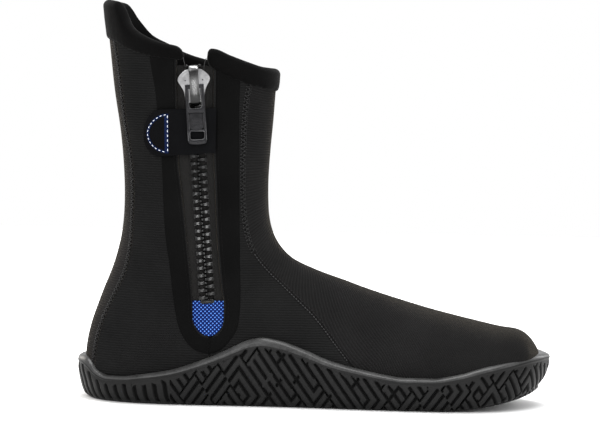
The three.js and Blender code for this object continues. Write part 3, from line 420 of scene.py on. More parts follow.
# ------------------------------------------------------------------ materials
class Nodes:
    def __init__(self, name, rough=0.8, metal=0.0, spec=0.5, sheen=0.0, sheen_rough=0.5, sheen_tint=(1, 1, 1), coat=0.0, coat_rough=0.2):
        self.m = bpy.data.materials.new(name)
        self.m.use_nodes = True
        self.t = self.m.node_tree
        self.b = self.t.nodes["Principled BSDF"]
        i = self.b.inputs
        i["Roughness"].default_value = rough
        i["Metallic"].default_value = metal
        i["Specular IOR Level"].default_value = spec
        i["Sheen Weight"].default_value = sheen
        i["Sheen Roughness"].default_value = sheen_rough
        i["Sheen Tint"].default_value = (*sheen_tint, 1)
        i["Coat Weight"].default_value = coat
        i["Coat Roughness"].default_value = coat_rough
        self.uvn = self.t.nodes.new("ShaderNodeUVMap")
        self.sep = self.t.nodes.new("ShaderNodeSeparateXYZ")
        self.t.links.new(self.uvn.outputs[0], self.sep.inputs[0])
        self.obj = self.t.nodes.new("ShaderNodeTexCoord").outputs["Object"]
        self.U, self.V = self.sep.outputs[0], self.sep.outputs[1]

    def math(self, op, a, b=None, c=None):
        n = self.t.nodes.new("ShaderNodeMath")
        n.operation = op
        for k, v in enumerate((a, b, c)):
            if v is None:
                continue
            if isinstance(v, (int, float)):
                n.inputs[k].default_value = v
            else:
                self.t.links.new(v, n.inputs[k])
        return n.outputs[0]

    def wave(self, coord, period):
        """a smooth ridge, 0 to 1, each period; coord is in the UV's unit of 0.1 m"""
        return self.math("MULTIPLY_ADD", self.math("SINE", self.math("MULTIPLY", coord, 2 * math.pi / period)), 0.5, 0.5)

    def noise(self, scale, detail=3, rough=0.5, stretch=None, coord=None):
        n = self.t.nodes.new("ShaderNodeTexNoise")
        n.inputs["Scale"].default_value = scale
        n.inputs["Detail"].default_value = detail
        n.inputs["Roughness"].default_value = rough
        src = coord or self.obj
        if stretch:
            mp = self.t.nodes.new("ShaderNodeMapping")
            mp.inputs["Scale"].default_value = stretch
            self.t.links.new(src, mp.inputs[0])
            src = mp.outputs[0]
        self.t.links.new(src, n.inputs["Vector"])
        return n.outputs["Fac"]

    def voronoi(self, scale, coord=None, feature="F1"):
        n = self.t.nodes.new("ShaderNodeTexVoronoi")
        n.feature = feature
        n.inputs["Scale"].default_value = scale
        self.t.links.new(coord or self.obj, n.inputs["Vector"])
        return n.outputs["Distance"]

    def ramp(self, fac, stops):
        n = self.t.nodes.new("ShaderNodeValToRGB")
        e = n.color_ramp.elements
        while len(e) < len(stops):
            e.new(0.5)
        for k, (p, c) in enumerate(stops):
            e[k].position = p
            e[k].color = (*c, 1) if len(c) == 3 else c
        self.t.links.new(fac, n.inputs[0])
        return n.outputs[0]

    def color(self, out):
        self.t.links.new(out, self.b.inputs["Base Color"])

    def rough(self, out):
        self.t.links.new(out, self.b.inputs["Roughness"])

    def bump(self, height, distance, strength=1.0, chain=None):
        n = self.t.nodes.new("ShaderNodeBump")
        n.inputs["Strength"].default_value = strength
        n.inputs["Distance"].default_value = distance
        self.t.links.new(height, n.inputs["Height"])
        if chain:
            self.t.links.new(chain, n.inputs["Normal"])
        self.t.links.new(n.outputs[0], self.b.inputs["Normal"])
        return n.outputs[0]


def g3(v):
    return (v, v, v)


def jersey(name, level, warm=1.0, diag=False, rib=0.015, depth=0.00026):
    n = Nodes(name, rough=0.85, spec=0.02, sheen=0.095, sheen_rough=0.2, sheen_tint=(1.0, 0.87, 0.68))
    across, along = n.V, n.U
    wob = n.math("MULTIPLY", n.noise(90, 2), 0.006)
    rid = n.wave(n.math("ADD", across, wob), rib)
    loops = n.wave(n.math("ADD", along, n.math("MULTIPLY", n.noise(60, 1), 0.01)), 0.011)
    h = n.math("ADD", rid, n.math("MULTIPLY", loops, 0.38))
    fuzz = n.noise(2600, 2, 0.6)
    h2 = n.math("ADD", h, n.math("MULTIPLY", fuzz, 0.5))
    big = n.noise(28, 3, 0.6)
    tone = n.math("ADD", n.math("MULTIPLY", rid, 0.22), n.math("ADD", n.math("MULTIPLY", big, 0.50), n.math("MULTIPLY", fuzz, 0.55)))
    lo, hi = level * 0.34, level * 1.62
    n.color(n.ramp(tone, [(0.2, (lo * warm, lo, lo * 1.02)), (0.95, (hi * warm, hi, hi * 1.0))]))
    n.bump(h2, depth, 0.85)
    return n.m


MAT = {}
MAT["quarter"] = jersey("quarter_jersey", 0.0080)
MAT["vamp"] = jersey("vamp_jersey", 0.0086, 1.02, diag=True)
MAT["heel"] = jersey("heel_jersey", 0.0110, 1.05)


def make_plain(name, level, rough, bump_scale, bump_d, sheen=0.1, spec=0.4, tint=(1, 1, 1), tex=None):
    n = Nodes(name, rough=rough, spec=spec, sheen=sheen, sheen_rough=0.4)
    f = n.noise(bump_scale, 3, 0.55)
    big = n.noise(35, 3)
    tone = n.math("ADD", n.math("MULTIPLY", f, 0.4), n.math("MULTIPLY", big, 0.6))
    n.color(n.ramp(tone, [(0.25, tuple(level * 0.7 * c for c in tint)), (0.8, tuple(level * 1.4 * c for c in tint))]))
    n.bump(f, bump_d, 0.6)
    return n


MAT["skin"] = make_plain("smooth_skin", 0.0040, 0.75, 1900, 0.00008, sheen=0.0, spec=0.008).m
MAT["binding"] = make_plain("collar_knit", 0.0032, 0.80, 1300, 0.0004, sheen=0.045, spec=0.008, tint=(1.0, 0.98, 0.98)).m
MAT["lining"] = make_plain("lining_jersey", 0.012, 0.9, 2400, 0.0002, sheen=0.05, spec=0.06).m
MAT["strap"] = make_plain("strap_cloth", 0.0042, 0.74, 2600, 0.0001, sheen=0.0, spec=0.008, tint=(1, 1.02, 1.12)).m
MAT["hook"] = make_plain("hook_and_loop", 0.006, 0.95, 3200, 0.0003, sheen=0.05, spec=0.06).m
MAT["thread"] = make_plain("seam_thread", 0.017, 0.6, 3000, 0.00005, sheen=0.02, spec=0.1).m
MAT["thread_light"] = make_plain("seam_thread_pale", 0.034, 0.55, 3000, 0.00005, sheen=0.02, spec=0.12).m
MAT["thread_dark"] = make_plain("edge_thread", 0.0075, 0.6, 3000, 0.00005, sheen=0.0, spec=0.02).m
MAT["white_thread"] = make_plain("pale_thread", 0.72, 0.5, 3000, 0.00004, tint=(0.95, 1.0, 1.08)).m
MAT["navy"] = make_plain("navy_satin", 0.010, 0.6, 2600, 0.00006, sheen=0.0, spec=0.06, tint=(0.2, 0.75, 3.6)).m
MAT["foam"] = make_plain("foam_core", 0.05, 0.95, 1500, 0.0003).m
MAT["board"] = make_plain("insole_board_fibre", 0.2, 0.9, 900, 0.0001, tint=(1.1, 1.0, 0.8)).m

n = Nodes("zip_tape_weave", rough=0.85, spec=0.03, sheen=0.005, sheen_rough=0.4)
w1 = n.wave(n.math("ADD", n.U, n.math("MULTIPLY", n.V, 1.0)), 0.0085)
w2 = n.wave(n.math("SUBTRACT", n.V, n.math("MULTIPLY", n.U, 1.0)), 0.0085)
cell = n.math("MULTIPLY", w1, w2)
tn = n.math("ADD", cell, n.math("MULTIPLY", n.noise(2400, 2), 0.5))
n.color(n.ramp(tn, [(0.2, g3(0.002)), (0.8, (0.034, 0.033, 0.032))]))
n.bump(tn, 0.00025, 0.9)
MAT["tape"] = n.m

n = Nodes("tooth_acetal", rough=0.15, spec=0.24)
f = n.noise(700, 2)
n.color(n.ramp(f, [(0.3, g3(0.0015)), (0.7, g3(0.004))]))
n.bump(f, 0.00001, 0.4)
MAT["tooth"] = n.m

n = Nodes("blue_knit", rough=0.72, spec=0.08, sheen=0.03, sheen_rough=0.4, sheen_tint=(0.7, 0.8, 1.0))
d1 = n.wave(n.math("ADD", n.U, n.V), 0.0245)
d2 = n.wave(n.math("SUBTRACT", n.V, n.U), 0.0245)
hh = n.math("MULTIPLY", d1, d2)
n.color(n.ramp(n.math("ADD", hh, n.math("MULTIPLY", n.noise(1800, 2), 0.12)), [(0.08, (0.001, 0.004, 0.045)), (0.42, (0.004, 0.022, 0.19)), (0.80, (0.07, 0.21, 0.62)), (1.0, (0.16, 0.36, 0.80))]))
n.bump(hh, 0.0004, 1.0)
MAT["blue"] = n.m


def metal(name, base, rough, dark=0.6):
    n = Nodes(name, rough=rough, metal=1.0)
    f = n.noise(420, 4, 0.6)
    fine = n.noise(3600, 2, 0.6)
    n.color(n.ramp(f, [(0.2, tuple(c * dark for c in base)), (0.75, base)]))
    n.rough(n.math("MULTIPLY_ADD", f, 0.22, rough - 0.1))
    n.bump(n.math("ADD", fine, n.math("MULTIPLY", f, 0.5)), 0.00003, 0.5)
    return n.m


MAT["slider"] = metal("slider_satin_zinc", (0.36, 0.36, 0.365), 0.33, 0.6)
n = Nodes("bridge_zinc_painted_highlight_bands", rough=0.27, metal=1.0)
f = n.noise(500, 3)
# painted highlights and painted shade: bands of lighter and darker metal along the bridge's length (UV U) stand in for
# the highlights and dark shading on its bowed curve
n.color(n.ramp(n.math("MULTIPLY_ADD", f, 0.03, n.U), [(0.0, g3(0.14)), (0.31, g3(0.20)), (0.37, g3(0.03)), (0.44, g3(0.05)), (0.51, g3(0.15)), (0.58, g3(0.10)), (0.65, g3(0.035)), (1.0, g3(0.015))]))
n.bump(n.noise(3600, 2, 0.6), 0.00003, 0.4)
MAT["bridge"] = n.m
# painted highlight: a lighter metal for the thin rims round the pull's windows and edges, standing in for bright bevel
# edges
MAT["pull_rim"] = metal("pull_rim_painted_highlight", (0.15, 0.15, 0.155), 0.30, 0.5)
MAT["pull"] = metal("pull_gunmetal", (0.032, 0.032, 0.034), 0.36, 0.4)
MAT["dark_metal"] = metal("recess_gunmetal", (0.07, 0.07, 0.075), 0.5, 0.8)

n = Nodes("sole_rubber", rough=0.45, spec=0.15)
f = n.noise(900, 3, 0.6)
big = n.noise(45, 3)
worn = n.noise(160, 4, 0.65)
tone = n.math("ADD", n.math("MULTIPLY", f, 0.3), n.math("ADD", n.math("MULTIPLY", big, 0.4), n.math("MULTIPLY", worn, 0.35)))
# painted shade: the tread's colour is darkened in the grooves (UV V above 0) to stand in for the shade that falls into
# them
painted_groove_shade = n.math("SUBTRACT", 1.0, n.math("MULTIPLY", n.math("MAXIMUM", n.V, 0.0), 0.93))
# painted highlight: the lip bead (UV V below 0) gets a lighter colour, standing in for the highlight along its crest;
# the same mask also makes the bead glossier
lip_bead_painted_highlight = n.math("MAXIMUM", n.math("MULTIPLY", n.V, -1.0), 0.0)
fac = n.math("ADD", n.math("MULTIPLY", n.math("MULTIPLY", tone, painted_groove_shade), 0.5), n.math("MULTIPLY", lip_bead_painted_highlight, 0.42))
# the brightest stop is reached only on the lip bead, where it paints that highlight
n.color(n.ramp(fac, [(0.0, g3(0.0008)), (0.15, g3(0.0042)), (0.40, g3(0.0098)), (0.60, g3(0.014)), (0.86, g3(0.085))]))
grip = n.math("MULTIPLY_ADD", worn, 0.16, 0.38)
n.rough(n.math("ADD", n.math("SUBTRACT", grip, n.math("MULTIPLY", lip_bead_painted_highlight, 0.16)), n.math("MULTIPLY", n.math("MAXIMUM", n.V, 0.0), 0.5)))
n.bump(f, 0.00007, 0.5)
MAT["rubber"] = n.m

n = Nodes("studio_floor", rough=0.9, spec=0.1)
f = n.noise(3, 2)
n.color(n.ramp(f, [(0.3, g3(0.905)), (0.7, g3(0.915))]))
MAT["floor"] = n.m

# ------------------------------------------------------------------ upper panels
x_back = {s: crossing(s, back_seam) for s in (-1, 1)}
x_front = {s: crossing(s, front_seam) for s in (-1, 1)}
x_slot_r = crossing(-1, slot_rear)
x_slot_f = crossing(-1, slot_front, last=True)
u_floor = {s: floor_u(s) for s in (-1, 1)}
LEN = {-1: lambda v: np.interp(v, VS, LEN_M), 1: lambda v: np.interp(v, VS, LEN_L)}
THICK = 4.7


def cosine(n):
    return 0.5 - 0.5 * np.cos(np.linspace(0, math.pi, n + 1))


def edge_roll(d, depth=0.8, width=1.1):
    return -depth * np.exp(-((d / width) ** 2))


def panel(name, side, ua, ub, v0, v1, cols, mats, rolls=(True, True), step=0.09, h=0.0):
    vs = np.arange(v0, v1, step)
    a, b = ua(vs), ub(vs)
    ok = b - a > 0.004
    vs, a, b = vs[ok], a[ok], b[ok]
    q = cosine(cols)[None, :]
    u = a[:, None] + (b - a)[:, None] * q
    L = LEN[side](vs)[:, None]
    lift = np.full(u.shape, float(h))
    if rolls[0]:
        lift += edge_roll((u - a[:, None]) * L)
    if rolls[1]:
        lift += edge_roll((b[:, None] - u) * L)
    vv = np.broadcast_to(vs[:, None], u.shape)
    out, nn = sample(vv, w_of(u, side), lift)
    inn, _ = sample(vv, w_of(u, side), -THICK)
    uv = np.stack([u * L, out[..., 2]], -1) * 0.01
    return shell_piece(name, out, inn, mats, uv=uv, flip=(side > 0))


most = lambda f, g: (lambda v: np.maximum(f(v), g(v)))
lower = {s: most(x_back[s], u_floor[s]) for s in (-1, 1)}
P = {}
P["quarter_lateral"] = panel("lateral_panel", 1, lower[1], x_front[1], 0.0, 18.6, 60, [MAT["quarter"], MAT["lining"]])
P["quarter_rear"] = panel("medial_rear_panel", -1, lower[-1], x_slot_r, 0.0, 15.2, 34, [MAT["quarter"], MAT["lining"]], rolls=(True, False))
P["quarter_front"] = panel("medial_front_panel", -1, (lambda v: most(x_slot_f, u_floor[-1])(v) - 0.0025), x_front[-1], 0.0, 18.6, 34, [MAT["quarter"], MAT["lining"]], rolls=(False, True))


def strip_over(name, ends, v0, v1, cols, mats, step=0.09, cap=False):
    """a panel that spans both sides: ends(v) gives the two loop indices, running through the back or the front"""
    vs = np.arange(v0, v1, step)
    wa, wb, ring = ends(vs)
    q = cosine(cols)[None, :]
    w = wa[:, None] + (wb - wa)[:, None] * q
    scale = ring[:, None] / (NU - 1)
    lift = edge_roll(np.abs(w - wa[:, None]) * scale) + edge_roll(np.abs(wb[:, None] - w) * scale)
    vv = np.broadcast_to(vs[:, None], w.shape)
    rest, _ = sample(vv, w, lift)
    lift = lift + 3.0 * np.exp(-(((rest[..., 0] - 131) / 10) ** 2)) * np.clip((rest[..., 2] - 26) / 8, 0, 1)
    out, _ = sample(vv, w, lift)
    inn, _ = sample(vv, w, -THICK)
    if cap:
        out[-1] = out[-1].mean(0)
        inn[-1] = inn[-1].mean(0)
    down = out[..., 2]
    if name == "vamp_panel":
        spine_pts, _ = sample(vs, np.full(len(vs), 160.0))
        run = np.concatenate([[0], np.cumsum(np.linalg.norm(np.diff(spine_pts, axis=0), axis=1))])
        lean = 0.85 * np.clip((run[:, None] - 50) / 150, 0, 1)
        down = run[:, None] - lean * np.abs(w - 160) * scale
    uv = np.stack([w * scale, down], -1) * 0.01
    return shell_piece(name, out, inn, mats, uv=uv, flip=True)


def back_ends(v):
    return w_of(x_back[-1](v), -1), -(x_back[1](v)) * (NU - 1), LEN[-1](v)


def front_ends(v):
    a = np.maximum(x_front[-1](v), u_floor[-1](v)) * (NU - 1)
    b = 2 * (NU - 1) - np.maximum(x_front[1](v), u_floor[1](v)) * (NU - 1)
    return b, a, LEN[-1](v)


P["heel"] = strip_over("heel_panel", back_ends, 0.0, 11.3, 26, [MAT["heel"], MAT["lining"]])
P["vamp"] = strip_over("vamp_panel", front_ends, 0.0, 27.01, 110, [MAT["vamp"], MAT["lining"]])

FOLD_R0 = np.array([-65.8, -40.1 + SY, 57.6])
FOLD_R1 = np.array([-101.6, -36.6 + SY, 222.2])
FOLD_F0 = np.array([-64.8, -40.0 + SY, 57.6])
FOLD_F1 = np.array([-49.6, -33.5 + SY, 206.0])
HINGE_S1 = np.array([-62.6, -39.57 + SY, 183.3])


def fold_blend(ob, which):
    a, b = (FOLD_R0, FOLD_R1) if which == "rear_flap" else (FOLD_F0, FOLD_F1)
    axis = (b - a) / np.linalg.norm(b - a)
    across = np.array([1.0, 0, 0]) if which == "rear_flap" else np.array([-1.0, 0, 0])
    across = across - axis * across.dot(axis)
    across /= np.linalg.norm(across)
    a = a + across * 3.5
    axis = (b - a) / np.linalg.norm(b - a)
    across = across - axis * across.dot(axis)
    across /= np.linalg.norm(across)
    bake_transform(ob)


fold_blend(P["quarter_rear"], "rear_flap")
fold_blend(P["quarter_front"], "front_flap")
for k in ("quarter_lateral", "heel", "vamp"):
    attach(P[k], "boot")
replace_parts(P["quarter_lateral"], "quarter_lateral")
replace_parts(P["heel"], "heel_strip")
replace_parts(P["vamp"], "vamp")
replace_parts(P["quarter_rear"], "quarter_medial_rear")
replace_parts(P["quarter_front"], "quarter_medial_front")


# ------------------------------------------------------------------ zip surround, laid over the quarter's edge
def resample(poly, n):
    p = np.asarray(poly, float)
    d = np.concatenate([[0], np.cumsum(np.linalg.norm(np.diff(p, axis=0), axis=1))])
    t = np.linspace(0, d[-1], n)
    return np.stack([np.interp(t, d, p[:, 0]), np.interp(t, d, p[:, 1])], 1)


def smooth_curve(table, z_from, z_to, foot):
    f = by_z(table)
    zs = np.linspace(z_from, z_to, 260)
    return np.concatenate([[foot], np.stack([f(zs), zs], 1)])


def surround(name, outer_t, inner_t, top_o, top_i, which, nodes):
    no, nc = 150, 16
    o = resample(smooth_curve(outer_t, 31.25, top_o, [-64.3, 31.0]), no)
    i = resample(smooth_curve(inner_t, 42.9, top_i, [-64.3, 42.65]), no)
    q = cosine(nc)
    g = o[:, None, :] * (1 - q[None, :, None]) + i[:, None, :] * q[None, :, None]
    dist_o = np.linalg.norm(g - o[:, None, :], axis=2)
    dist_i = np.linalg.norm(g - i[:, None, :], axis=2)
    lift = 0.5 - 0.75 * np.exp(-((dist_o / 0.8) ** 2)) - 1.5 * np.exp(-((dist_i / 1.0) ** 2))
    out, _ = side_point(g[..., 0], g[..., 1], lift)
    inn, _ = side_point(g[..., 0], g[..., 1], np.minimum(lift - 0.3, -1.9))
    out[0, :, 0] += 0.5 if which == "rear_flap" else -0.5
    inn[0] = out[0] + (inn[1] - out[1])
    flip = out[50, 5, 0] > out[50, 0, 0]
    ob = shell_piece(name, out, inn, [MAT["skin"], MAT["skin"]], uv=out[..., [0, 2]] * 0.01, flip=not flip)
    fold_blend(ob, which)
    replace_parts(ob, *nodes)
    return ob


surround("surround_rear_overlay", SURROUND_REAR, SLOT_REAR, 214.0, 212.5, "rear_flap", ["surround_rear", "surround_rear_flap"])
surround("surround_front_overlay", SURROUND_FRONT, SLOT_FRONT, 200.2, 207.2, "front_flap", ["surround_front", "surround_front_flap"])


# ------------------------------------------------------------------ tapes
def line_x(z):
    return P0[0] + (ZD[0] / ZD[2]) * (z - P0[2])


def tape(name, left, right, which, node):
    zs = np.linspace(62.0, 209.0, 120)
    q = np.linspace(0, 1, 15)
    a, b = left(zs), right(zs)
    x = a[:, None] + (b - a)[:, None] * q[None]
    lift = -1.5 + 0.25 * np.sin(q * math.pi * 3)[None] ** 2 + 0 * x
    z = np.broadcast_to(zs[:, None], x.shape)
    out, _ = side_point(x, z, lift)
    inn, _ = side_point(x, z, -2.8)
    ob = shell_piece(name, out, inn, [MAT["tape"], MAT["tape"]], uv=out[..., [0, 2]] * 0.01, flip=False)
    fold_blend(ob, which)
    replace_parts(ob, node)


tape("tape_rear", lambda z: slot_rear(z) - 1.2, lambda z: line_x(z) - 0.4, "rear_flap", "zip_tape_rear")
tape("tape_front", lambda z: line_x(z) + 0.4, lambda z: slot_front(z) + 1.2, "front_flap", "zip_tape_front")


# ------------------------------------------------------------------ teeth
def blob(V, F, cx, size, power=3.2, n=(10, 8), bend=None):
    """a rounded brick in the zip frame"""
    base = len(V)
    for i in range(n[0] + 1):
        th = math.pi * i / n[0] - math.pi / 2
        for j in range(n[1]):
            ph = 2 * math.pi * j / n[1] + math.pi / n[1]
            e = 2 / power
            f = lambda t: math.copysign(abs(t) ** e, t)
            p = (f(math.cos(th)) * f(math.cos(ph)), f(math.sin(th)), f(math.cos(th)) * f(math.sin(ph)))
            V.append((cx[0] + p[0] * size[0], cx[1] + p[1] * size[1], cx[2] + p[2] * size[2]))
    F += grid_faces(n[0] + 1, n[1], base, closed=True)


def teeth(name, side, offset, which, node):
    V, F = [], []
    s = 20.5 + offset
    while s < ZIP_LENGTH - 3.0:
        blob(V, F, (s, side * 2.75, -0.45), (1.22, 2.1, 1.25), 5.0)
        blob(V, F, (s, side * 0.15, -0.40), (1.08, 0.95, 1.2), 3.0)
        blob(V, F, (s, side * 4.35, -0.55), (1.45, 0.85, 1.2), 5.0)
        s += 4.6
    p = zip_at(*np.array(V).T)
    ob = make(name, p, F, MAT["tooth"])
    ob.data.set_sharp_from_angle(angle=math.radians(24))
    fold_blend(ob, which)
    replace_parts(ob, node)
    n_c = 200
    ss = np.linspace(2.0, ZIP_LENGTH - 1.5, n_c)
    cord = tubes(name + "_cord", [zip_at(ss, np.full(n_c, side * 5.0), np.full(n_c, -1.25))], 0.75, MAT["tape"], sides=8)
    fold_blend(cord, which)


teeth("teeth_rear", -1, 0.0, "rear_flap", "zip_teeth_rear")
teeth("teeth_front", 1, 2.3, "front_flap", "zip_teeth_front")
V, F = [], []
blob(V, F, (ZIP_LENGTH - 0.7, 0, -0.3), (1.4, 4.6, 1.3), 4)
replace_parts(make("bottom_box", zip_at(*np.array(V).T), F, MAT["tooth"], "boot"), "zip_bottom_stop")
for side, nm in ((-1, "rear"), (1, "front")):
    V, F = [], []
    blob(V, F, (-2.4, side * 4.0, -1.2), (1.1, 0.9, 1.3), 3.5)
    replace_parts(make("top_stop_" + nm, zip_at(*np.array(V).T), F, MAT["tooth"], nm + "_flap"), "zip_top_stop_" + nm)

# ------------------------------------------------------------------ blue knit patch over the zip's end
zs = np.concatenate([np.linspace(42.75, 46.5, 14), np.linspace(47.2, 64.6, 26)])
q = np.linspace(0, 1, 25)
xa, xb = slot_rear(zs) - 0.4, slot_front(zs) + 0.4
x = xa[:, None] + (xb - xa)[:, None] * q[None]
z = np.broadcast_to(zs[:, None], x.shape)
d = np.minimum((x - xa[:, None]), (xb[:, None] - x))
lift = 0.05 - 1.2 * np.exp(-((d / 1.1) ** 2)) + 0.35 * np.sin(q * math.pi)[None]
out, _ = side_point(x, z, lift)
inn, _ = side_point(x, z, -2.6)
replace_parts(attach(shell_piece("end_patch", out, inn, [MAT["blue"], MAT["blue"]], uv=out[..., [0, 2]] * 0.01), "boot"), "zip_end_patch")

# ------------------------------------------------------------------ collar binding: a padded fold over the top edge
def binding(name, w0, w1, count, ends, node, which=None):
    rows = []
    ws = np.linspace(w0, w1, count)
    pts0, _ = sample(np.zeros(count), ws)
    arc = np.concatenate([[0], np.cumsum(np.linalg.norm(np.diff(pts0, axis=0), axis=1))])
    for k, w in enumerate(ws):
        wm = w % NW
        medial = wm <= NU - 1
        vs = np.linspace(0, 3.0, 90)
        col, nrm = sample(vs, np.full(90, w))
        zb = (bind_m if medial else bind_l)(col[:, 0])
        below = np.where(col[:, 2] < zb)[0]
        j = below[0] if len(below) else 60
        length = np.concatenate([[0], np.cumsum(np.linalg.norm(np.diff(col, axis=0), axis=1))])
        H = length[j]
        up_dir = col[0] - col[8]
        up_dir /= np.linalg.norm(up_dir)
        n0 = nrm[0]
        loop = [(0.0, 0.0), (0.25, 0.7), (0.9, 1.35), (2.4, 1.85), (H * 0.45, 2.1)]
        loop += [(H - 1.9 + 3.9 * math.sin(a), -2.0 + 4.05 * math.cos(a)) for a in np.linspace(0.12, math.pi - 0.12, 13)]
        loop += [(H * 0.45, -6.0), (2.2, -5.9), (0.8, -5.5), (0.1, -4.7)]
        loop = np.array(loop)
        f = 1.0
        for on, d in ((ends[0], arc[k]), (ends[1], arc[-1] - arc[k])):
            if on and d < 4.2:
                f = min(f, math.sqrt(max(0.0, 1 - (1 - d / 4.2) ** 2)))
        k_back = float(np.clip((-116 - col[0, 0]) / 10, 0, 1))
        ay = abs(col[0, 1])
        crown = float(np.clip((26.5 - ay) / 8.0, 0, 1)) if col[0, 0] < -110 else 0.0
        rise = crown * crown * (3 - 2 * crown) * (246.0 - 0.0035 * ay * ay - col[0, 2])
        loop[4:19, 0] += rise + 0.8 * k_back
        loop[1:10, 1] -= 0.2 * k_back
        c = np.array([H * 0.5, -2.0])
        loop = c + (loop - c) * max(f, 0.05)
        up, h = loop[:, 0], loop[:, 1]
        below_top = H - up  # distance down from the top edge
        p = np.stack([np.interp(below_top, length, col[:, i]) for i in range(3)], 1)
        nn = np.stack([np.interp(below_top, length, nrm[:, i]) for i in range(3)], 1)
        p = p + np.where(below_top < 0, -below_top, 0)[:, None] * up_dir + nn * h[:, None]
        rows.append(p)
    g = np.array(rows)
    R, C = g.shape[:2]
    F = grid_faces(R, C, closed=True)
    F.append(tuple(range(C))[::-1])
    F.append(tuple((R - 1) * C + i for i in range(C)))
    ob = make(name, g.reshape(-1, 3), F, MAT["binding"])
    import bmesh

    bm = bmesh.new()
    bm.from_mesh(ob.data)
    bmesh.ops.recalc_face_normals(bm, faces=bm.faces)
    bm.to_mesh(ob.data)
    bm.free()
    ob.data.set_sharp_from_angle(angle=math.radians(55))
    if which:
        fold_blend(ob, which)
    else:
        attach(ob, "boot")
    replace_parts(ob, *node)


def w_at_x(x):
    row = LOOP[0, : NU, 0]
    return float(np.interp(x, row, np.arange(NU)))


wr, wr2, wf2, wf = w_at_x(-83.8), w_at_x(-113.0), w_at_x(-41.0), w_at_x(-69.6)
binding("binding_rear", wr, wr2, 34, (True, False), ["binding_rear_end"], "rear_flap")
binding("binding_round", wr2, wf2 - NW, 210, (False, False), ["collar_binding"])
binding("binding_front", wf2, wf, 30, (False, True), ["binding_front_end"], "front_flap")

# ------------------------------------------------------------------ moulded sole
def closed_outline(n):
    p = np.array(SOLE_OUTLINE, float)
    dense = []
    m = len(p)
    for i in range(m):
        a, b, c, d = p[i - 1], p[i], p[(i + 1) % m], p[(i + 2) % m]
        for t in np.linspace(0, 1, 24, endpoint=False):
            dense.append(0.5 * (2 * b + (c - a) * t + (2 * a - 5 * b + 4 * c - d) * t * t + (3 * b - a - 3 * c + d) * t**3))
    q = np.array(dense + [dense[0]])
    s = np.concatenate([[0], np.cumsum(np.linalg.norm(np.diff(q, axis=0), axis=1))])
    t = np.linspace(0, s[-1], n, endpoint=False)
    o = np.stack([np.interp(t, s, q[:, 0]), np.interp(t, s, q[:, 1])], 1)
    tan = np.roll(o, -3, 0) - np.roll(o, 3, 0)
    for _ in range(6):
        tan = (tan + np.roll(tan, 1, 0) + np.roll(tan, -1, 0)) / 3
    tan /= np.linalg.norm(tan, axis=1, keepdims=True)
    o[:, 1] += SY
    return o, np.stack([-tan[:, 1], tan[:, 0]], 1), t


def frac(x):
    return x - np.floor(x)


def rnd(*k):
    v = sum(np.asarray(a, float) * c for a, c in zip(k, (12.9898, 78.233, 37.719)))
    return frac(np.sin(v) * 43758.5453)


def soft(d, w=0.35):
    return np.clip(d / w * 0.5 + 0.5, 0, 1)


def maze(s, z, x):
    """0 on a ridge, 1 in a groove: a labyrinth of parallel slanted bars and nested chevrons in skewed cells"""
    phi = math.radians(56.0)
    p = 5.1
    A = s * math.sin(phi) + z * math.cos(phi) * 1.02
    B = s * math.sin(phi) - z * math.cos(phi) * 1.02
    Ca, Cb = 3 * p, 3 * p
    ia, ib = np.floor(A / Ca), np.floor(B / Cb + 0.5 * (np.floor(A / Ca) % 2))
    a = A - ia * Ca
    b = B - (ib - 0.5 * (ia % 2)) * Cb
    kind = rnd(ia, ib, 3.0)
    flip_a, flip_b = rnd(ia, ib, 7.0) > 0.5, rnd(ia, ib, 11.0) > 0.5
    la = np.where(flip_a, Ca - a, a)
    lb = np.where(flip_b, Cb - b, b)
    nest = np.maximum(la, lb)
    val = np.where(kind < 0.40, a, np.where(kind < 0.88, nest, b))
    wid = 0.78
    d = np.abs(frac(val / p + 0.5) - 0.5) * p
    g = soft(wid - d, 0.45)
    # a bar's end is closed by a rib every so often, and a hook turns back beside it
    gate = np.where(kind < 0.40, b, a)
    end = (rnd(ia, np.floor(val / p), 2.0) > 0.45) & (kind < 0.40)
    g = np.where(end, g * soft(gate - 2.2, 0.5), g)
    cross = soft(0.7 - np.abs(gate - p * 1.5), 0.45) * (rnd(ia, ib, np.floor(val / p + 0.5)) > 0.72) * (kind < 0.40)
    g = np.maximum(g, cross)
    # the heel has plain upright slots, leaning a little
    hp = 6.3
    H = s * math.sin(math.radians(74)) + z * math.cos(math.radians(74)) + 0.5 * np.sin(z * 0.35)
    heel = soft(1.05 - np.abs(frac(H / hp) - 0.5) * hp, 0.5)
    return np.where(x < -88, heel, g)


grid_v, grid_w = np.arange(0, NV, 3), np.arange(0, NW, 2)
bv = LOOP[grid_v][:, grid_w]
bvh = BVHTree.FromPolygons([tuple(p) for p in bv.reshape(-1, 3)], grid_faces(len(grid_v), len(grid_w), closed=True))

NC = 1680
ol, oin, os_ = closed_outline(NC)
ox, oy = ol[:, 0], ol[:, 1]
ground, rim = ground_z(ox), rim_z(ox)
prof = pchip([[0, 7.0], [0.07, 4.5], [0.26, 2.3], [0.46, 1.0], [0.7, 0.0], [0.83, 0.1], [0.86, -0.25], [0.93, 0.15], [0.97, 1.0], [1.0, 2.4]])
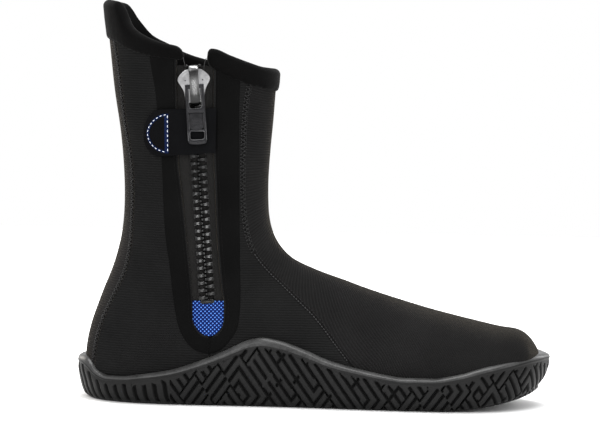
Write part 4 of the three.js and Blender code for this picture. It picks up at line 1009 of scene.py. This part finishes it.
# the UV's V carries painted light for the rubber: the groove mask as painted shade, and -1 on the lip rows as a painted
# highlight
groove_shade_lip_highlight = []
ts = np.concatenate([np.linspace(0, 0.07, 6, endpoint=False), np.linspace(0.07, 0.84, 52, endpoint=False), np.linspace(0.82, 1.0, 14)])
rows = []
for t in ts:
    d = np.full(NC, float(prof(t)))
    zz = ground + (rim - ground) * t
    px = ox + oin[:, 0] * d
    if t < 0.02:
        zz = ground_z(px) + (rim - ground) * t
    arcz = (rim - ground) * t - d * 0.6
    saw = np.abs(frac(os_ / 7.3) - 0.5) * 2
    upper = 1 - (4.6 + 2.4 * saw * (rnd(np.floor(os_ / 7.3), 0, 0) > 0.3)) / (rim - ground)
    m = maze(os_, zz, ox) * np.clip((upper - t) * (rim - ground) / 0.7 + 0.5, 0, 1) * np.clip((zz - ground - 0.9) / 0.8 + (ox > -88), 0, 1)
    dep = 1.9 * m
    groove_shade_lip_highlight.append(m if t < 0.9 else np.full(NC, -1.0))
    rows.append(np.stack([ox + oin[:, 0] * (d + dep), oy + oin[:, 1] * (d + dep), zz + dep * 0.25 * (t < 0.1)], 1))
# the lip closes onto the upper
hit = np.full(NC, 6.0)
for i in range(NC):
    loc = bvh.ray_cast(Vector((ox[i], oy[i], rim[i])), Vector((oin[i, 0], oin[i, 1], 0)), 40)
    if loc[0] is not None:
        hit[i] = loc[3]
for _ in range(12):
    hit = (hit + np.roll(hit, 1) + np.roll(hit, -1)) / 3
for frac_in, dz in ((0.0, 0.12), (0.35, 0.3), (0.7, 0.15), (1.0, -0.35)):
    d = 2.8 + (np.maximum(hit + 0.7, 3.2) - 2.8) * frac_in
    rows.append(np.stack([ox + oin[:, 0] * d, oy + oin[:, 1] * d, rim + dz], 1))
d = np.maximum(hit + 1.2, 3.6)
rows.append(np.stack([ox + oin[:, 0] * d, oy + oin[:, 1] * d, rim - 3], 1))
wall = np.array(rows)
# underside: rings that close on a line down the middle of the foot
spine = np.stack([np.clip(ox, -108, 100), np.interp(ox, [-150, -60, 40, 150], [0, 0.5, 0, -6]) + SY], 1)
first = wall[0]
under, under_shade = [], []
NB = 46
for k in range(NB, 0, -1):
    t = k / NB
    xy = first[:, :2] * (1 - t) + spine * t
    g = maze(xy[:, 0] * 1.0 + 200, xy[:, 1] + 60, np.maximum(xy[:, 0], -83))
    arch = (xy[:, 0] > -50) & (xy[:, 0] < -18)
    dep = 1.7 * g * np.clip((t - 0.02) / 0.04, 0, 1) * np.where(arch, 0.35, 1.0)
    # painted shade: the underside grooves are darkened through the UV's V
    under_shade.append(g * 0.8)
    under.append(np.column_stack([xy, ground_z(xy[:, 0]) + dep]))
allr = np.concatenate([np.array(under), wall])
F = grid_faces(len(allr), NC, closed=True)
groove_shade_lip_highlight += [np.full(NC, -1.0)] * (len(wall) - len(groove_shade_lip_highlight))
uv = np.column_stack([np.tile(os_ * 0.01, len(allr)), np.concatenate([np.array(under_shade), np.array(groove_shade_lip_highlight)]).ravel()])
sole = make("sole_cup", allr.reshape(-1, 3), F, MAT["rubber"], "boot", uv=uv)
sole.data.set_sharp_from_angle(angle=math.radians(60))
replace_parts(sole, "outsole")

# ------------------------------------------------------------------ slider, bridge, pull
half_loop = [(-0.7, 4.2), (0.6, 6.4), (3.0, 8.9), (5.0, 10.0), (6.6, 9.9), (9.2, 8.4), (12.2, 6.7), (15.0, 6.2), (20.2, 6.0)]
shield = rounded([(s, a) for s, a in half_loop] + [(s, -a) for s, a in half_loop[::-1]], 2)
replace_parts(plate("slider_plate", shield, 1.25, 2.75, MAT["slider"], "slider", edge=0.55), "slider_body")
plate("slider_back", rounded([(0.4, -4.7), (20.0, -4.7), (20.0, 4.7), (0.4, 4.7)], 2), -4.9, -3.6, MAT["slider"], "slider", edge=0.4)
plate("slider_wedge", rounded([(0.6, -1.8), (6.0, -2.5), (11.0, -0.8), (11.0, 0.8), (6.0, 2.5), (0.6, 1.8)], 2), -3.7, 1.0, MAT["slider"], "slider", edge=0.2)
raised = [(0.9, 4.0), (3.4, 7.3), (6.0, 8.1), (9.4, 6.7), (12.4, 5.0), (19.0, 4.8)]
plate("slider_crown", rounded([(s, a) for s, a in raised] + [(s, -a) for s, a in raised[::-1]], 2), 2.6, 3.05, MAT["slider"], "slider", edge=0.28)
# painted shade: two small black discs on the crown stand in for the shade inside two small holes
for k, a in enumerate((-5.3, 5.3)):
    c = [(6.3 + 0.42 * math.cos(q), a + 0.42 * math.sin(q)) for q in np.linspace(0, 2 * math.pi, 14, endpoint=False)]
    plate("slider_pin_%d" % k, np.array(c), 2.9, 3.12, MAT["tooth"], "slider", edge=0.05)


def sweep(name, path, half_w, half_t, mat, body, power=4.0, sides=28, widths=None):
    """a rounded bar along a path of (s, h) in the zip's mid plane"""
    p = np.array(path, float)
    for _ in range(2):
        q = [p[0]]
        for a, b in zip(p, p[1:]):
            q += [a * 0.75 + b * 0.25, a * 0.25 + b * 0.75]
        q.append(p[-1])
        p = np.array(q)
    t = np.gradient(p, axis=0)
    t /= np.linalg.norm(t, axis=1, keepdims=True)
    nrm = np.stack([-t[:, 1], t[:, 0]], 1)
    m = len(p)
    wd = np.interp(np.linspace(0, 1, m), np.linspace(0, 1, len(widths)), widths) if widths else np.full(m, half_w)
    V = []
    e = 2 / power
    for i in range(m):
        for k in range(sides):
            a = 2 * math.pi * k / sides
            ca, sa = math.copysign(abs(math.cos(a)) ** e, math.cos(a)), math.copysign(abs(math.sin(a)) ** e, math.sin(a))
            q = p[i] + nrm[i] * half_t * sa
            V.append((q[0], wd[i] * ca, q[1]))
    V = np.array(V)
    F = grid_faces(m, sides, closed=True) + [tuple(range(sides))[::-1], tuple((m - 1) * sides + k for k in range(sides))]
    uv = np.column_stack([np.repeat(np.linspace(0, 1, m), sides), np.tile(np.arange(sides) / sides, m)])
    return make(name, zip_at(V[:, 0], V[:, 1], V[:, 2]), F, mat, body, uv=uv)


br = sweep("bridge", [(-1.6, 2.4), (-2.2, 5.2), (-0.6, 7.5), (3.2, 8.1), (12.0, 7.9), (18.6, 7.3), (20.6, 5.0), (20.7, 2.6)], 3.1, 0.85, MAT["bridge"], "slider", power=2.9, widths=[2.9, 3.0, 3.1, 2.7, 2.9, 3.05, 3.0, 2.9])
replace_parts(br, "slider_bridge")
AX, AH = 10.2, 4.9
out_loop = rounded([(8.9, -5.1), (8.9, -6.05), (43.6, -6.0), (45.5, -4.6), (45.6, 4.6), (43.6, 5.9), (8.9, 6.05), (8.9, 5.1)], 2)


def rrect(s0, s1, a, r, n=5, r2=None):
    """a round-cornered rectangle, wound the same way as the frame; r2 rounds the far end differently"""
    r2 = r if r2 is None else r2
    out = []
    for cs, ca, rr, q0 in ((s0 + r, -a + r, r, math.pi), (s1 - r2, -a + r2, r2, 1.5 * math.pi), (s1 - r2, a - r2, r2, 0.0), (s0 + r, a - r, r, 0.5 * math.pi)):
        for k in range(n):
            q = q0 + 0.5 * math.pi * k / (n - 1)
            out.append((cs + rr * math.cos(q), ca + rr * math.sin(q)))
    return np.array(out)


top_win = rrect(11.4, 23.4, 3.9, 0.5, r2=1.9)
mid_win = rrect(26.2, 36.6, 4.35, 1.0)
low_win = rrect(37.5, 42.5, 4.35, 0.8, r2=1.6)
pull = plate("pull_frame", out_loop, 3.85, 5.95, MAT["pull"], "pull", edge=0.5, holes=[top_win, mid_win, low_win])
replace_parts(pull, "pull_tab")
plate("pull_recess", rounded([(25.4, -5.0), (37.1, -5.0), (37.1, 5.0), (25.4, 5.0)], 1), 4.0, 5.05, MAT["pull"], "pull", edge=0.2)
for k, s in enumerate((30.4, 32.1, 33.8)):
    plate("pull_rib_%d" % k, rrect(s - 0.4, s + 0.4, 2.7, 0.35), 4.95, 5.4, MAT["pull"], "pull", edge=0.18)
# thin raised rims of lighter metal round the windows and along the outer edges: painted highlights of the bevels
rims = []
for loop, lift in ((rrect(11.4, 23.4, 3.9, 0.5, r2=1.9), 5.6), (mid_win, 5.55), (low_win, 5.6)):
    c = loop.mean(0)
    grown = c + (loop - c) * (1 + 0.25 / np.abs(loop - c).max())
    grown = np.vstack([grown, grown[:1]])
    rims.append(zip_at(grown[:, 0], grown[:, 1], np.full(len(grown), lift)))
tubes("pull_rims", rims, 0.27, MAT["pull_rim"], "pull", sides=8)
outer = []
for sgn in (-1, 1):
    ss = np.linspace(9.6, 43.4, 40)
    outer.append(zip_at(ss, sgn * np.full(40, 5.55), np.full(40, 5.68)))
aa = np.linspace(-4.4, 4.4, 20)
outer.append(zip_at(45.15 - 0.02 * aa**2, aa, np.full(20, 5.5)))
tubes("pull_edges", outer, 0.22, MAT["pull_rim"], "pull", sides=8)

# ------------------------------------------------------------------ keeper strap
def strap_z(x):
    return 153.0 + 2.8 * (x + 96) / 33, 181.7 + 1.6 * (x + 96) / 33


xs = np.concatenate([-96 - 10.3 * np.sin(np.linspace(math.pi / 2, 0, 22)), np.linspace(-95.5, -63.2, 46)])
q = cosine(26)
lo, hi = strap_z(xs)
mid, hh = (lo + hi) / 2, (hi - lo) / 2
hh = np.where(xs < -96, hh * np.sqrt(np.maximum(0.004, 1 - ((-96 - xs) / 10.32) ** 2)), hh)
gx = np.broadcast_to(xs[:, None], (len(xs), len(q)))
gz = mid[:, None] + hh[:, None] * (2 * q[None] - 1)
rim_d = np.minimum(hh[:, None] * (1 - np.abs(2 * q[None] - 1)), gx + 106.35)
rim_d = np.minimum(rim_d, -63.15 - gx)
puff = 0.22 * np.sin(np.clip((gx + 104) / 40, 0, 1) * math.pi) + 0 * gz
lift = 3.15 + puff - 0.75 * np.exp(-((rim_d / 0.7) ** 2))
out, _ = side_point(gx, gz, lift)
inn, _ = side_point(gx, gz, np.minimum(lift - 0.25, 2.0))
strap = shell_piece("strap", out, inn, [MAT["strap"], MAT["hook"]], uv=out[..., [0, 2]] * 0.01, flip=True)
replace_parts(strap, "keeper_strap")
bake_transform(strap)

# the D-shaped stitching, on its satin band
arc = [(-92.6, 178.6), (-95.6, 178.0), (-99.2, 175.6), (-102.2, 171.8), (-103.4, 167.2), (-102.3, 162.5), (-99.6, 158.8), (-96.0, 156.6), (-91.8, 155.6)]
Dp = np.array(arc, float)
for _ in range(3):
    nq = [Dp[0]]
    for a, b in zip(Dp, Dp[1:]):
        nq += [a * 0.75 + b * 0.25, a * 0.25 + b * 0.75]
    nq.append(Dp[-1])
    Dp = np.array(nq)


def run_of(points, step, length):
    d = np.concatenate([[0], np.cumsum(np.linalg.norm(np.diff(points, axis=0), axis=1))])
    out = []
    n = int((d[-1] - length * 0.5) / step)
    for k in range(n + 1):
        t = np.linspace(k * step, min(k * step + length, d[-1]), 5)
        out.append(np.stack([np.interp(t, d, points[:, i]) for i in range(points.shape[1])], 1))
    return out


def ribbon(name, pts, width, h, mat):
    t = np.gradient(pts, axis=0)
    t /= np.linalg.norm(t, axis=1, keepdims=True)
    nn = np.stack([-t[:, 1], t[:, 0]], 1)
    qs = np.linspace(-1, 1, 7)
    g = pts[:, None, :] + nn[:, None, :] * qs[None, :, None] * width / 2
    a, _ = side_point(g[..., 0], g[..., 1], h + 0.16 * np.sqrt(np.maximum(0, 1 - qs**2))[None] + 0 * g[..., 0])
    b, _ = side_point(g[..., 0], g[..., 1], h - 0.25)
    ob = shell_piece(name, a, b, [mat, mat], uv=a[..., [0, 2]] * 0.01)
    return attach(ob, "keeper")


dh = 3.3
ribbon("keeper_band_arc", Dp, 1.5, dh, MAT["navy"])
straight = np.stack([np.linspace(-92.5, -91.7, 30), np.linspace(179.2, 155.0, 30)], 1)
ribbon("keeper_band_side", straight, 2.5, dh, MAT["navy"])
paths = []
column = np.stack([np.linspace(-91.75, -91.1, 40), np.linspace(178.2, 156.2, 40)], 1)
for run in run_of(Dp[2:-2], 2.45, 1.35) + run_of(column, 2.9, 1.7):
    bow = np.array([0.0, 0.16, 0.22, 0.16, 0.0])
    p, _ = side_point(run[:, 0], run[:, 1], dh + 0.16 + bow)
    paths.append(p)
tubes("keeper_stitches", paths, 0.24, MAT["white_thread"], "keeper", sides=7)

# ------------------------------------------------------------------ seams
def seam_line(side, cross, v0, v1, h=0.0, du=0.0):
    vs = np.arange(v0, v1, 0.02)
    w = w_of(cross(vs), side) + du
    p, n = sample(vs, w, h)
    d = np.concatenate([[0], np.cumsum(np.linalg.norm(np.diff(p, axis=0), axis=1))])
    return p, n, d


def zigzag(name, side, cross, v0, v1, amp, pitch, radius, mat, h=0.12, body="boot", blend=None):
    p, n, d = seam_line(side, cross, v0, v1)
    t = np.gradient(p, axis=0)
    t /= np.linalg.norm(t, axis=1, keepdims=True)
    b = np.cross(n, t)
    paths = []
    total = d[-1]
    k = 0
    at = lambda A, s: np.stack([np.interp(s, d, A[:, i]) for i in range(3)], -1)
    while (k + 1) * pitch < total:
        for s0, s1, o0, o1 in ((k * pitch, (k + 0.5) * pitch, -amp, amp), ((k + 0.5) * pitch, (k + 1) * pitch, amp, -amp)):
            s = np.linspace(s0, s1, 5)
            o = np.linspace(o0, o1, 5)
            lift = h + 0.22 * np.sin(np.linspace(0, math.pi, 5))
            paths.append(at(p, s) + at(b, s) * o[:, None] + at(n, s) * lift[:, None])
        k += 1
    return tubes(name, paths, radius, mat, body, sides=5)


def dashes(name, side, cross, v0, v1, offset, step, length, radius, mat, h=0.05, body="boot"):
    p, n, d = seam_line(side, cross, v0, v1)
    t = np.gradient(p, axis=0)
    t /= np.linalg.norm(t, axis=1, keepdims=True)
    b = np.cross(n, t)
    at = lambda A, s: np.stack([np.interp(s, d, A[:, i]) for i in range(3)], -1)
    paths = []
    s0 = 0.0
    while s0 + length < d[-1]:
        s = np.linspace(s0, s0 + length, 5)
        lift = h + radius * 0.8 * np.sin(np.linspace(0, math.pi, 5))
        paths.append(at(p, s) + at(b, s) * offset + at(n, s) * lift[:, None])
        s0 += step
    ob = tubes(name, paths, radius, mat, None if body is None else body, sides=5)
    return ob


for side, tag in ((-1, "medial"), (1, "lateral")):
    dashes("front_flatlock_dots_" + tag, side, x_front[side], 0.78, 8.1, 0.25, 2.3, 0.6, 0.26, MAT["thread_light"], h=0.3)
    zigzag("front_flatlock_" + tag, side, x_front[side], 0.75, 8.1, 1.75, 2.7, 0.2, MAT["thread"])
    dashes("front_flatlock_edge_a_" + tag, side, x_front[side], 0.75, 8.1, -1.8, 1.9, 0.75, 0.24, MAT["thread_light"])
    dashes("front_flatlock_edge_b_" + tag, side, x_front[side], 0.75, 8.1, 1.8, 1.35, 0.95, 0.24, MAT["thread"])
    dashes("front_diagonal_" + tag, side, x_front[side], 8.1, 17.4, 0.0, 2.0, 1.35, 0.36, MAT["thread_light"], h=-0.45)
    dashes("front_diagonal_b_" + tag, side, x_front[side], 8.1, 17.4, 1.7, 2.0, 1.2, 0.2, MAT["thread"])
    zigzag("back_flatlock_" + tag, side, x_back[side], 0.6, 10.4, 1.5, 2.5, 0.22, MAT["thread"])
    dashes("back_flatlock_edge_" + tag, side, x_back[side], 0.6, 10.4, 1.55 * side, 1.3, 0.9, 0.22, MAT["thread_light"])


def side_dashes(name, curve, z0, z1, off, step, length, radius, h, which, mat):
    zs = np.linspace(z0, z1, 300)
    pts = np.stack([curve(zs) + off, zs], 1)
    paths = []
    for run in run_of(pts, step, length):
        p, _ = side_point(run[:, 0], run[:, 1], h + radius * 0.7 * np.sin(np.linspace(0, math.pi, 5)))
        paths.append(p)
    ob = tubes(name, paths, radius, mat, None, sides=5)
    fold_blend(ob, which)


side_dashes("surround_stitch_rear", slot_rear, 211.0, 50.0, -2.3, 2.6, 1.8, 0.17, 0.5, "rear_flap", MAT["thread_dark"])
side_dashes("surround_stitch_front", slot_front, 206.0, 50.0, 2.3, 2.6, 1.8, 0.17, 0.5, "front_flap", MAT["thread_dark"])


def loose_thread(name, pts, which):
    q = np.array(pts, float)
    for _ in range(3):
        n2 = [q[0]]
        for a, b in zip(q, q[1:]):
            n2 += [a * 0.75 + b * 0.25, a * 0.25 + b * 0.75]
        n2.append(q[-1])
        q = np.array(n2)
    p, _ = side_point(q[:, 0], q[:, 1], q[:, 2])
    ob = tubes(name, [p], 0.22, MAT["thread_light"], None, sides=6)
    fold_blend(ob, which)


loose_thread("gap_edge_thread_rear", [(-85.2, 216.0, 0.5), (-83.6, 213.5, -0.3), (-82.8, 209.5, -1.0), (-81.9, 206.0, -1.1)], "rear_flap")
loose_thread("gap_edge_thread_front", [(-69.6, 213.5, 0.3), (-70.6, 210.5, -0.6), (-70.9, 207.0, -1.0), (-71.1, 205.0, -1.1)], "front_flap")

# ------------------------------------------------------------------ camera, light, floor
def look_camera():
    T = np.array([-10.286, 0.0, 118.824]) * MM
    el, roll = math.radians(3.5), math.radians(1.2)
    f = np.array([0, math.cos(el), -math.sin(el)])
    r = np.array([1.0, 0, 0])
    u = np.cross(r, f)
    c, s = math.cos(roll), math.sin(roll)
    r2, u2 = c * r + s * u, -s * r + c * u
    loc = T - f * 1.5
    cam = bpy.data.cameras.new("camera")
    cam.sensor_width = 36.0
    cam.lens = 142.86
    cam.clip_start, cam.clip_end = 0.05, 60
    ob = bpy.data.objects.new("camera", cam)
    m = Matrix.Identity(4)
    for k in range(3):
        m[k][0], m[k][1], m[k][2], m[k][3] = r2[k], u2[k], -f[k], loc[k]
    ob.matrix_world = m
    bpy.context.scene.collection.objects.link(ob)
    bpy.context.scene.camera = ob


look_camera()


def area(name, loc, aim, size, power, color=(1, 1, 1)):
    l = bpy.data.lights.new(name, "AREA")
    l.shape, l.size, l.size_y = "RECTANGLE", size[0], size[1]
    l.energy, l.color = power, color
    ob = bpy.data.objects.new(name, l)
    ob.location = loc
    ob.rotation_euler = (Vector(aim) - Vector(loc)).to_track_quat("-Z", "Y").to_euler()
    bpy.context.scene.collection.objects.link(ob)


area("key", (-0.9, -1.7, 1.5), (0, 0, 0.1), (0.9, 0.9), 15)
area("fill", (1.6, -1.8, 0.9), (0, 0, 0.1), (1.2, 1.0), 7)
area("top", (0.05, 0.05, 1.7), (0, 0, 0), (1.7, 0.45), 34)
area("rim_back", (-1.3, 1.3, 0.9), (-0.05, 0, 0.12), (0.8, 1.2), 18, (1.0, 0.94, 0.86))
area("rim_toe", (1.4, 1.2, 0.8), (0.05, 0, 0.1), (0.8, 0.8), 10)
area("chain_glint", (0.04, -1.23, 0.040), (-0.07, -0.0375, 0.106), (0.27, 0.05), 1.2)
bpy.data.objects["chain_glint"].visible_camera = False

world = bpy.data.worlds.new("studio")
bpy.context.scene.world = world
world.use_nodes = True
bg = world.node_tree.nodes["Background"]
bg.inputs[0].default_value = (1, 1, 1, 1)
bg.inputs[1].default_value = 1.0
bpy.context.scene.view_settings.view_transform = "Standard"
fl = make("studio_floor", np.array([[-4000, -3000, -0.25], [4000, -3000, -0.25], [4000, 1500, -0.25], [-4000, 1500, -0.25]], float), [(0, 1, 2, 3)], MAT["floor"], smooth=False)

# every node still carrying its CAD finish gets the right material
CARRIED = {"midsole_pad": "foam", "insole_board": "board", "footbed": "lining", "zip_guard": "lining", "keeper_hook_patch": "hook", "keeper_loop_patch": "hook"}
for nm, key in CARRIED.items():
    ob = frame["nodes"][nm] if isinstance(frame["nodes"], dict) and hasattr(frame["nodes"][nm], "data") else bpy.data.objects[nm]
    if not ob.material_slots:
        ob.data.materials.append(MAT[key])
    for sl in ob.material_slots:
        sl.material = MAT[key]
